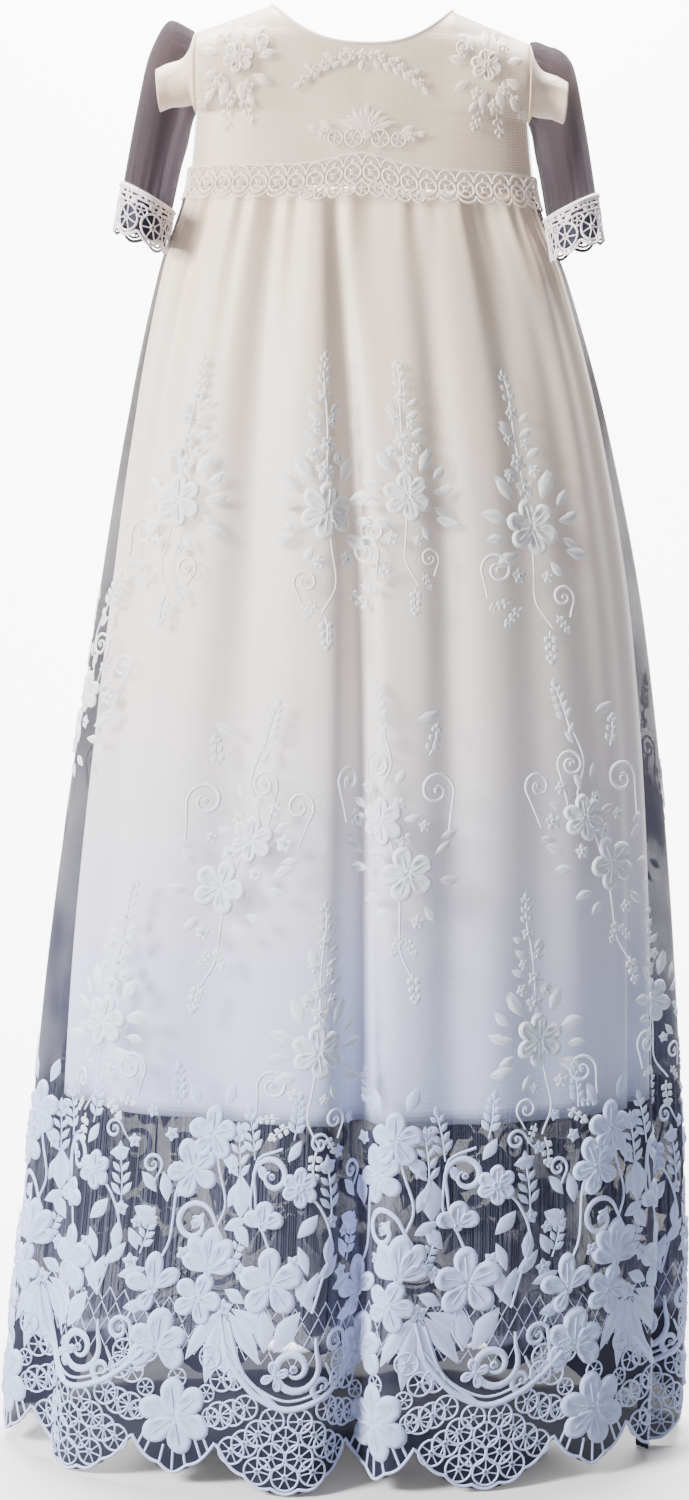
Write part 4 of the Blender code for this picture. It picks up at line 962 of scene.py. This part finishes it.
def bodice_point(across, down, side, inset=0.0):
    """A point of the bodice: across from -1 to 1 between the armholes and down from 0 at the top edge
    to 1 at the waist. It rounds over at the shoulder seam, and the inset carries it inward."""
    across, down = np.broadcast_arrays(np.asarray(across, float), np.asarray(down, float))
    top, past_neck = bodice_top(across, side)
    z = top + (WAIST_Z - top) * down
    middle, half = (SHOULDER_TIP_Z + UNDERARM_Z) / 2, (SHOULDER_TIP_Z - UNDERARM_Z) / 2
    edge = 30.0 * np.sqrt(np.clip(1 - ((z - middle) / half) ** 2, 0, 1))
    drop = np.clip((SHOULDER_TIP_Z * past_neck - z) / 36.0, 0, 1)
    rounding = np.sqrt(1 - (1 - drop) ** 2)
    deep, power = girth(z, "front" if side < 0 else "back"), girth(z, "squareness")
    bulge = np.clip(1 - np.abs(across) ** power, 0, 1) ** (1 / power)
    y = side * np.maximum(edge + np.maximum(deep * rounding - edge, 0) * bulge - inset, 0.15)
    return np.stack([across * (bodice_half_width(z) - inset * np.abs(across) ** 6), y, z], axis=-1)


def on_bodice(x, z, side=-1, lift=0.0):
    """A point of the bodice front or back at x and z, moved out by the lift."""
    across = x / bodice_half_width(z)
    top = bodice_top(across, side)[0]
    point = bodice_point(across, np.clip((z - top) / (WAIST_Z - top), 0, 1), side)
    return point + np.array([0, side * lift, 0])


def puckers(x, z):
    """How far the bodice's cloth sinks in, in millimetres: soft drag lines that slant from the
    neckline to the waist, and small puckers above the seam."""
    waist = np.exp(-((z - WAIST_Z) / 12.0) ** 2) * np.sin(x * 0.42 + 1.3 * np.sin(x * 0.11))
    chest = 0.6 * np.sin(np.abs(x) * 0.105 - z * 0.045 + 0.5) + 0.4 * np.sin(x * 0.06 + z * 0.03)
    return 0.35 * waist + chest + 1.0


# The bodice net's inner colour is painted darker, as painted shade.
bodice_net = net_material("bodice net", (0.88, 0.74, 0.62), (0.86, 0.80, 0.75), (0.30, 0.28, 0.28),
                          (0.45, 0.12), 0.5)
down = np.linspace(0, 1, 60)
panels = (("front", -1, -1, 1, 141), ("back_left", 1, 0.004, 1, 71), ("back_right", 1, -1, -0.004, 71))
for place, side, first, last, count in panels:
    t, q = np.meshgrid(np.linspace(first, last, count), down)
    for layer, material, inset in (("lining", satin, 1.3), ("lace", bodice_net, 0.3)):
        points = bodice_point(t, q, side, inset)
        shade = (1 - np.abs(t) ** 4) * np.sin(np.pi * np.clip(q, 0, 1)) ** 0.5
        points[..., 1] -= side * np.maximum(puckers(points[..., 0], points[..., 2]), 0) * shade * 0.8
        uvs = np.stack([points[..., 0], points[..., 2]], axis=-1).reshape(-1, 2) / 1000
        name = "bodice_" + layer + "_" + place
        made = piece(name + "_cloth", points.reshape(-1, 3), grid_faces(len(down), count, turned=side < 0),
                     uvs, material, slot="satin" if layer == "lining" else "tulle", replaces=[name])
        if layer == "lining":
            thickened(made, 0.0009)
        wide = 0.25 if side < 0 else 0.13


def tube(path, radius, sides=8, flat=1.0):
    """A round cord along a path of points: rings square to the path, radius thick."""
    path = np.asarray(path, float)
    ahead = np.gradient(path, axis=0)
    ahead = ahead / np.linalg.norm(ahead, axis=1, keepdims=True)
    up = np.cross(ahead, [0.0, 1.0, 0.0])
    up = up / np.maximum(np.linalg.norm(up, axis=1, keepdims=True), 1e-9)
    side = np.cross(up, ahead)
    turn = np.arange(sides) * math.tau / sides
    ring = up[:, None] * np.cos(turn)[None, :, None] + flat * side[:, None] * np.sin(turn)[None, :, None]
    points = path[:, None] + radius * ring
    length = length_along(path)
    uv = np.stack(np.broadcast_arrays(length[:, None], turn * radius), axis=-1).reshape(-1, 2) / 1000
    return points.reshape(-1, 3), grid_faces(len(path), sides, closed=True, turned=True), uv


def joined_tubes(name, tubes, material, **facts):
    """One piece from several (points, faces, uv) tubes."""
    made = piece(name, *merged(tubes), material, **facts)
    return marked(made, "raised", np.ones(len(made.data.vertices)))


ivory_lace = thread_material("ivory lace", (0.97, 0.82, 0.72), (0.90, 0.80, 0.78), (0.45, 0.95), 4200.0)
edge_tubes = []
neck_share = NECK_HALF_WIDTH / SHOULDER_TIP_X
for side, first, last in ((-1, -1, 1), (1, 0.008, 1), (1, -1, -0.008)):
    t = np.linspace(max(first, -neck_share), min(last, neck_share), 60)
    edge = bodice_point(t, np.full(t.shape, 0.004), side, 0.6)
    edge_tubes.append(tube(edge, 1.0))
joined_tubes("neck_cord", edge_tubes, ivory_lace, slot="guipure")

# Thick guipure motifs sewn on the bodice front: a leafy spray on each shoulder, a narrow garland
# under the neckline and a fan of leaves over the waist, in thread that has kept its ivory colour.


def bodice_cloth(x0, z0):
    """The bodice front round one place as a flat piece, to the right and up."""
    return lambda right, up: on_bodice(x0 + right, np.minimum(z0 + up, -2.0), -1, 0.5)


shoulder = Needlework().add(lily([(k * 60, 10.5, 8) for k in range(6)], 2.3), 0, 3, lift=0.4)
for x, y, turn, length in (
        (-5, 13, 20, 13), (2, 14, -6, 14), (9, 12, -34, 12), (-12, 6, 66, 13), (13, 3, -82, 12),
        (-11, -5, 110, 13), (10, -7, -124, 13), (-3, -11, 160, 14), (4, -12, -168, 15), (-9, -17, 140, 11),
        (11, -18, -150, 12), (-8, 20, 42, 8), (8, 20, -24, 8)):
    shoulder.add(leaf(length, length * 0.5, 1.0, 1.4), x, y, turn, lift=0.1)
for x, y, radius in ((-9, -13, 5.4), (9, -13, 5.2), (0, -22, 5.0), (-13, 14, 4.6), (14, 14, 4.4)):
    shoulder.add(floret(radius, 5, x), x, y, lift=0.2)
shoulder.add(scroll(4.4, 1.3, 1.8, 6), -12, 17, 20, mirror=True).add(scroll(4.4, 1.3, 1.8, 6), 12, 17, -20)
shoulder.add(sprig(19, 3, 3.8), 2, -20, 176)
shoulder.add(sprig(16, 3, 3.6), -7, -19, 150)
shoulder.add(sprig(15, 2, 3.4), 12, -16, -158)
neckline = Needlework()
for k in range(-6, 7):
    x, sag = k * 6.2, 0.0115 * (k * 6.2) ** 2
    neckline.add(floret(3.9 - 0.12 * abs(k), 5, 15 * k), x, 1.5 - sag, lift=0.4)
    neckline.add(leaf(8.5, 4.4, 0.8, 1.2), x, -1.0 - sag, -math.copysign(128, x) if k else 180, lift=0.2)
    if k % 2:
        neckline.add(leaf(7.5, 4.0, 0.6, 1.2), x, 2.0 - sag, -math.copysign(66, x), lift=0.2)
middle = Needlework()
for turn, length in (
        (0, 20), (17, 17), (-17, 17), (35, 19), (-35, 19), (54, 18), (-54, 18), (72, 21), (-72, 21)):
    middle.add(leaf(length, 5.6, 0.02 * turn, 1.5), 0, -4, turn, lift=0.2 + 0.1 * (abs(turn) % 2))
for hand in (-1, 1):
    middle.add(wheel(6.2, 6, 1.5), hand * 8.5, -7.5, lift=0.5)
    middle.add(wheel(5.2, 5, 1.4), hand * 20, -8, lift=0.4)
    middle.add(floret(4.6, 5), hand * 28, -5, lift=0.3)
    middle.add(leaf(11, 5, 0.8, 1.2), hand * 21, -3, -hand * 62, lift=0.3)
    middle.add(leaf(9, 4.6, 0.8, 1.2), hand * 30, -4, -hand * 78, lift=0.2)
middle.add(petal(6.5, 6.5, 1.6, 1.2, narrow=0.9, solid=True), 0, -8.5, lift=0.6)
for name, work, x, z, lean in (
        ("shoulder_applique_left", shoulder, 79, -42, 12),
        ("shoulder_applique_right", shoulder, -79, -42, -12), ("neck_applique", neckline, 0, -36.5, 0),
        ("waist_applique", middle, 3, -79.5, 0)):
    relief = Needlework().add(work.joined(), 0, 0, lean, 1.0, lean < 0).joined()
    embroidered(name + "_lace", [(relief, bodice_cloth(x, z))], ivory_lace, slot="guipure", replaces=[name])

# The waist trim: a ribbon of guipure medallions and loops sewn over the waist seam. It rises a little
# at the middle of the front, over a row of wheels, and its three lengths meet at the sides and back.


def waist_point(angle, z, out):
    """The girth itself at an angle round the gown, moved outward."""
    power, wide = girth(z, "squareness"), girth(z, "half_width")
    sine, cosine = np.sin(np.radians(angle)), np.cos(np.radians(angle))
    deep = np.where(cosine >= 0, girth(z, "front"), girth(z, "back"))
    reach = (np.abs(sine / wide) ** power + np.abs(cosine / deep) ** power) ** (-1 / power)
    x, y = reach * sine, -reach * cosine
    out_x, out_y = outward(x, y, wide, deep, power)
    return np.stack([x + out_x * out, y + out_y * out, z + 0 * x], axis=-1)


ring_u = np.linspace(-100, 280, 1521)
ring_s = length_along(waist_point(ring_u, np.full(ring_u.shape, WAIST_Z), 0))


def trim_cloth(right, up):
    """The trim as a flat ribbon: length round the waist from the wearer's right side, and height."""
    angle = np.interp(right, ring_s, ring_u)
    z = WAIST_Z + up
    clear = 0.75 + 0.09 * np.clip(-up, 0, None)
    return waist_point(angle, z + 9.0 * np.exp(-((angle / 32.0) ** 2)), clear)


def trim_repeat(pitch):
    """One medallion: a corded ring round a knot, a loop above and below, and bars to the next."""
    work = Needlework().add(band(circle(pitch * 0.43, 18), 1.9, 1.2, closed=True))
    work.add(petal(4.4, 4.4, 1.2, 0.9, narrow=0.9), 0, -2.2, lift=0.3)
    for k in range(4):
        turn = k * math.pi / 2 + 0.78
        ends = [(reach * math.cos(turn), reach * math.sin(turn)) for reach in (1.6, pitch * 0.4)]
        work.add(band(ends, 1.1, 0.7))
    t = np.linspace(0, math.pi, 12)
    for hand, high in ((1, 7.2), (-1, 4.6)):
        loop = np.stack([pitch * 0.48 * np.cos(t), hand * (4.4 + high * np.sin(t) * 0.9)], axis=-1)
        work.add(band(loop if hand < 0 else loop[::-1], 1.6, 1.0), lift=0.2)
    return work.add(leaf(4.4, 3.2, 0, 1.0), 0, 4.0, 0, lift=0.3).joined()


for place, start, end, count in (
        ("front", -90, 90, 22), ("back_left", 90, 179.5, 10), ("back_right", 180.5, 270, 10)):
    first, last = np.interp((start, end), ring_u, ring_s)
    pitch = (last - first) / count
    ribbon = Needlework()
    for k in range(count):
        ribbon.add(trim_repeat(pitch), (k + 0.5) * pitch, 0)
    if place == "front":
        for k in range(-4, 5):
            ribbon.add(wheel(5.0, 5, 1.4), pitch * count / 2 + k * 8.6, -11.0 + 0.9 * abs(k), lift=0.3)
    cord_x = np.linspace(0.3, pitch * count - 0.3, count * 5)
    ribbon.add(band(np.stack([cord_x, np.full(cord_x.shape, 11.6)], -1), 1.6, 0.9))

    def ribbon_cloth(right, up, first=first):
        """The stretch of the ribbon that starts where this panel does."""
        return trim_cloth(first + right, up)

    embroidered("waist_trim_" + place + "_lace", [(ribbon.joined(), ribbon_cloth)], ivory_lace,
                slot="guipure", replaces=["waist_trim_" + place])

# The sleeves: sheer net, gathered into the armhole with a puffed head, and a lace cuff with fan
# scallops laid over its end. Short satin caps line the heads and are sewn in with them.

SLEEVE = {"sleeve": np.array([
    (108.3, -17.6, 108.3, -71.4, 31.4), (123, -11.5, 110.5, -79, 33.5), (137, -32, 113, -91, 34.5),
    (146, -68, 117, -105, 34), (155.5, -116, 123, -133, 32), (162, -149, 129.5, -162, 31)], float),
    "cap": np.array([
        (108.3, -19.7, 108.3, -69.3, 29.5), (112, -30, 110.5, -65, 25), (117, -36, 115, -66, 22),
        (126, -39, 123, -67, 19.5), (133.5, -43, 131, -70, 18.5)], float)}
SWING = {"left": (9.5, 46.0, 9.0), "right": (1.5, 16.0, 0.0)}  # inward, forward, and the head's drop
CUFF_START, CUFF_HEIGHT = 0.80, 31.0


def sleeve_point(kind, share, turn, side, inset=0.0, ruffle=0.0):
    """A point of a sleeve: share is 0 at the armhole and 1 at the cuff's edge, and turn runs round an
    ellipse between the outer and the inner line. Pleats deepen by ruffle and die out downward."""
    share, turn = np.broadcast_arrays(np.asarray(share, float), np.asarray(turn, float))
    rows = SLEEVE[kind]
    outer_x, outer_z, inner_x, inner_z, half_depth = (
        eased(share, np.linspace(0, 1, len(rows)), rows[:, k]) for k in range(5))
    inward, forward, sink = SWING[side]
    drop = sink * np.sin(math.pi * np.clip(share / 0.42, 0, 1)) ** 2
    if kind == "cap":
        inward, forward, drop = inward * 0.12, forward * 0.1, 0 * share
    reach = np.hypot(outer_x - inner_x, outer_z - inner_z) / 2
    pleats = np.sin(turn * 17 + 2 * np.sin(turn * 3)) + 0.5 * np.sin(turn * 29 + 1.0)
    head = np.exp(-share / 0.16) * np.clip(share / 0.03, 0, 1)
    fade = head + 0.55 * np.exp(-(0.8 - share) / 0.10) * (share < 0.8)
    shrink = 1 - (inset + ruffle * (1.1 + pleats) * np.clip(fade, 0, 1.2)) / np.maximum(reach, 10)
    x = (outer_x + inner_x) / 2 - inward * share**2 + (outer_x - inner_x) / 2 * np.cos(turn) * shrink
    z = (outer_z + inner_z) / 2 + (outer_z - inner_z) / 2 * np.cos(turn) * shrink
    z = z - drop * (0.5 + 0.5 * np.cos(turn))
    y = half_depth * np.sin(turn) * shrink - forward * share**2
    return np.stack([x if side == "left" else -x, y, z], axis=-1)


# The sleeve net is painted darker than the skirt's net, as painted shade for the dark inside of the sleeve
# seen through it; its inner colour is painted near black, also painted shade.
sleeve_net = net_material("sleeve net", (0.50, 0.40, 0.45), (0.50, 0.43, 0.48), (0.022, 0.014, 0.022),
                          (0.15, 0.02), 0.96)
for side in ("left", "right"):
    turned = side == "right"
    for kind, material, shares, inset, ruffle, flat in (
            ("sleeve", sleeve_net, np.linspace(0.0, 0.96, 76), 0.6, 0.55, (0.165, 0.12)),
            ("cap", satin, np.linspace(0, 1, 24), 0.3, 0.25, (0.13, 0.032))):
        turn = np.arange(120) * math.tau / 120
        t, s = np.meshgrid(turn, shares)
        points = sleeve_point(kind, s, t, side, inset, ruffle)
        uvs = np.stack([t * 0.03, s * 0.17], axis=-1).reshape(-1, 2)
        name = ("sleeve_" if kind == "sleeve" else "lining_cap_") + side
        faces = grid_faces(len(shares), 120, True, not turned)
        made = piece(name + "_cloth", points.reshape(-1, 3), faces, uvs, material,
                     slot="tulle" if kind == "sleeve" else "satin", replaces=[name])
        if kind == "cap":
            thickened(made, 0.0008)
        else:
            # Behind the cuff the sleeve net is painted as a near-black, nearly opaque sheet, as painted
            # shade for the sleeve's inside.
            marked(made, "shade_sheet", np.clip((s - CUFF_START) / 0.01, 0, 1))
    for half, start, end in (("front", math.pi, math.tau), ("back", 0, math.pi)):
        angles = np.linspace(start - 0.4, end + 0.4, 301)
        ring = sleeve_point("sleeve", np.full(angles.shape, 0.92), angles, side)
        length = length_along(ring)
        length = length - np.interp(start, angles, length)
        whole = float(np.interp(end, angles, length))
        pitch, hand = whole / 4, 1 if side == "left" else -1

        def cuff_cloth(right, up, length=length, angles=angles, side=side, hand=hand, whole=whole):
            """The half cuff as a flat strip; its length runs so that the relief faces outward."""
            at = np.interp(right if hand > 0 else whole - right, length, angles)
            return sleeve_point("sleeve", 1 - up / CUFF_HEIGHT * (1 - CUFF_START), at, side)

        work = Needlework()
        across = np.linspace(0, whole, 60)
        scallop = 5.5 * np.abs(2 * (across / pitch % 1) - 1) ** 2 + 1.2
        work.add(band(np.stack([across, scallop], -1), 2.0, 1.0))
        for k in range(4):
            x = (k + 0.5) * pitch
            work.add(wheel(min(9.3, pitch / 2), 7, 1.5), x, 12.2)
            work.add(wheel(4.4, 5, 1.1), k * pitch + 0.2, 19.4, lift=0.2)
            work.add(leaf(8, 4.4, 0.6), x - 1, 21, 36).add(leaf(8, 4.4, 0.6), x + 1, 21, -36)
        for y, wide, tall in ((29.4, 3.2, 1.6), (25.8, 1.4, 1.0), (22.6, 1.2, 0.9)):
            work.add(band(np.stack([across, np.full(across.shape, y)], -1), wide, tall), lift=0.2)
        for k in range(14):
            work.add(leaf(4.6, 2.6, 0, 0.8), (k + 0.5) * whole / 14, 25.6, 20 if k % 2 else -20, lift=0.2)
        embroidered("cuff_" + side + "_" + half + "_lace", [(work.joined(), cuff_cloth)], lace_thread,
                    slot="guipure", replaces=["cuff_" + side + "_" + half])

# The back opening closes with four small satin-covered buttons and thread loops; the buttons are the
# ones of the frame, and each loop is a fine cord sewn to the other edge.

frame_nodes = {name: bpy.data.objects[name] for name in ("button_1", "button_2", "button_3", "button_4")
               if name in bpy.data.objects}
loops = []
for z in (-34.0, -58.0, -82.0, -100.0):
    t = np.linspace(0, math.tau * 0.94, 26)
    y = float(girth(z, "back")) + 1.1
    path = np.stack([4.8 + 5.7 * np.cos(t + 0.2), np.full(t.shape, y), z + 5.5 * np.sin(t + 0.2)], -1)
    loops.append(tube(path, 0.5, 6))
joined_tubes("button_loops", loops, ivory_lace, slot="guipure")
button_satin = cloth_material("button satin", (0.74, 0.70, 0.64), (0.70, 0.68, 0.66), (0.70, 0.70, 0.74),
                              0.34, 0.1, (2600.0, 2600.0), 0.1)
for button in frame_nodes.values():
    button.data.materials.clear()
    button.data.materials.append(button_satin)

# The studio: a pale paper that sweeps up behind the gown, dark to bounced light so that the gown
# keeps its shadows, and clear from behind so that its back can be seen. The key stands at the front
# left, and leaves the right half of the skirt in shade.

floor_z = cad_box[0][2] - 0.002
sweep_y = np.concatenate([[-4.0], np.linspace(0.9, 2.2, 24), [2.2]])
rise = 1.3 - np.sqrt(np.clip(1.3**2 - (sweep_y[1:-1] - 0.9) ** 2, 0, None))
sweep_z = floor_z + np.concatenate([[0], rise, [4.5]])
sweep_points = [(x, y, z) for y, z in zip(sweep_y, sweep_z) for x in (-5.0, 5.0)]
sweep = bpy.data.meshes.new("studio_floor")
sweep.from_pydata(sweep_points, [], grid_faces(len(sweep_y), 2).tolist())
sweep.polygons.foreach_set("use_smooth", np.ones(len(sweep.polygons), dtype=bool))
paper = Shader("backdrop paper")
paper_shader = paper.tree.nodes["Principled BSDF"]
paper_noise = paper.node("ShaderNodeTexNoise")
paper_noise.inputs["Scale"].default_value = 2.0
pale = paper.mix(paper_noise.outputs["Fac"], (0.90, 0.90, 0.90, 1), (0.93, 0.93, 0.93, 1))
to_camera = paper.node("ShaderNodeLightPath").outputs["Is Camera Ray"]
paper.join(paper.mix(to_camera, (0.22, 0.22, 0.23, 1), pale), paper_shader.inputs["Base Color"])
paper_shader.inputs["Roughness"].default_value = 0.9
behind = paper.node("ShaderNodeNewGeometry").outputs["Backfacing"]
paper.join(paper.number("SUBTRACT", 1.0, behind), paper_shader.inputs["Alpha"])
sweep.materials.append(paper.material)
floor = bpy.data.objects.new("studio_floor", sweep)
bpy.context.scene.collection.objects.link(floor)


def area_light(name, place, aim, size, watts, colour):
    """A square soft box at a place, turned to its aim."""
    data = bpy.data.lights.new(name, "AREA")
    data.shape, data.size, data.energy, data.color = "SQUARE", size, watts, colour
    lamp = bpy.data.objects.new(name, data)
    lamp.location = place
    away = np.array(aim, float) - np.array(place, float)
    lamp.rotation_euler = (math.acos(-away[2] / np.linalg.norm(away)), 0.0,
                           math.atan2(away[1], away[0]) - math.pi / 2)
    bpy.context.scene.collection.objects.link(lamp)
    return lamp


area_light("key", (-2.0, -1.25, 0.6), (0, 0, -0.45), 0.7, 210, (1.0, 0.98, 0.95))
area_light("fill", (1.9, -1.9, 0.0), (0, 0, -0.5), 1.6, 4, (0.92, 0.95, 1.0))
area_light("low", (0.0, -2.0, -0.85), (0, 0, -0.7), 1.4, 5, (0.92, 0.93, 1.0))
area_light("backdrop_light", (0.0, 0.9, 1.8), (0, 2.2, 0.2), 1.6, 700, (1.0, 1.0, 1.0))
world = bpy.data.worlds.new("studio")
world.use_nodes = True
world.node_tree.nodes["Background"].inputs["Color"].default_value = (0.94, 0.95, 1.0, 1)
world.node_tree.nodes["Background"].inputs["Strength"].default_value = 0.31
bpy.context.scene.world = world

lens = bpy.data.cameras.new("camera")
lens.sensor_fit, lens.sensor_height, lens.lens = "VERTICAL", 36.0, 65.45
camera = bpy.data.objects.new("camera", lens)
camera.location = (-0.0115, -1.8, -0.2919)
camera.rotation_euler = (math.radians(84), 0, 0)
bpy.context.scene.collection.objects.link(camera)
bpy.context.scene.camera = camera
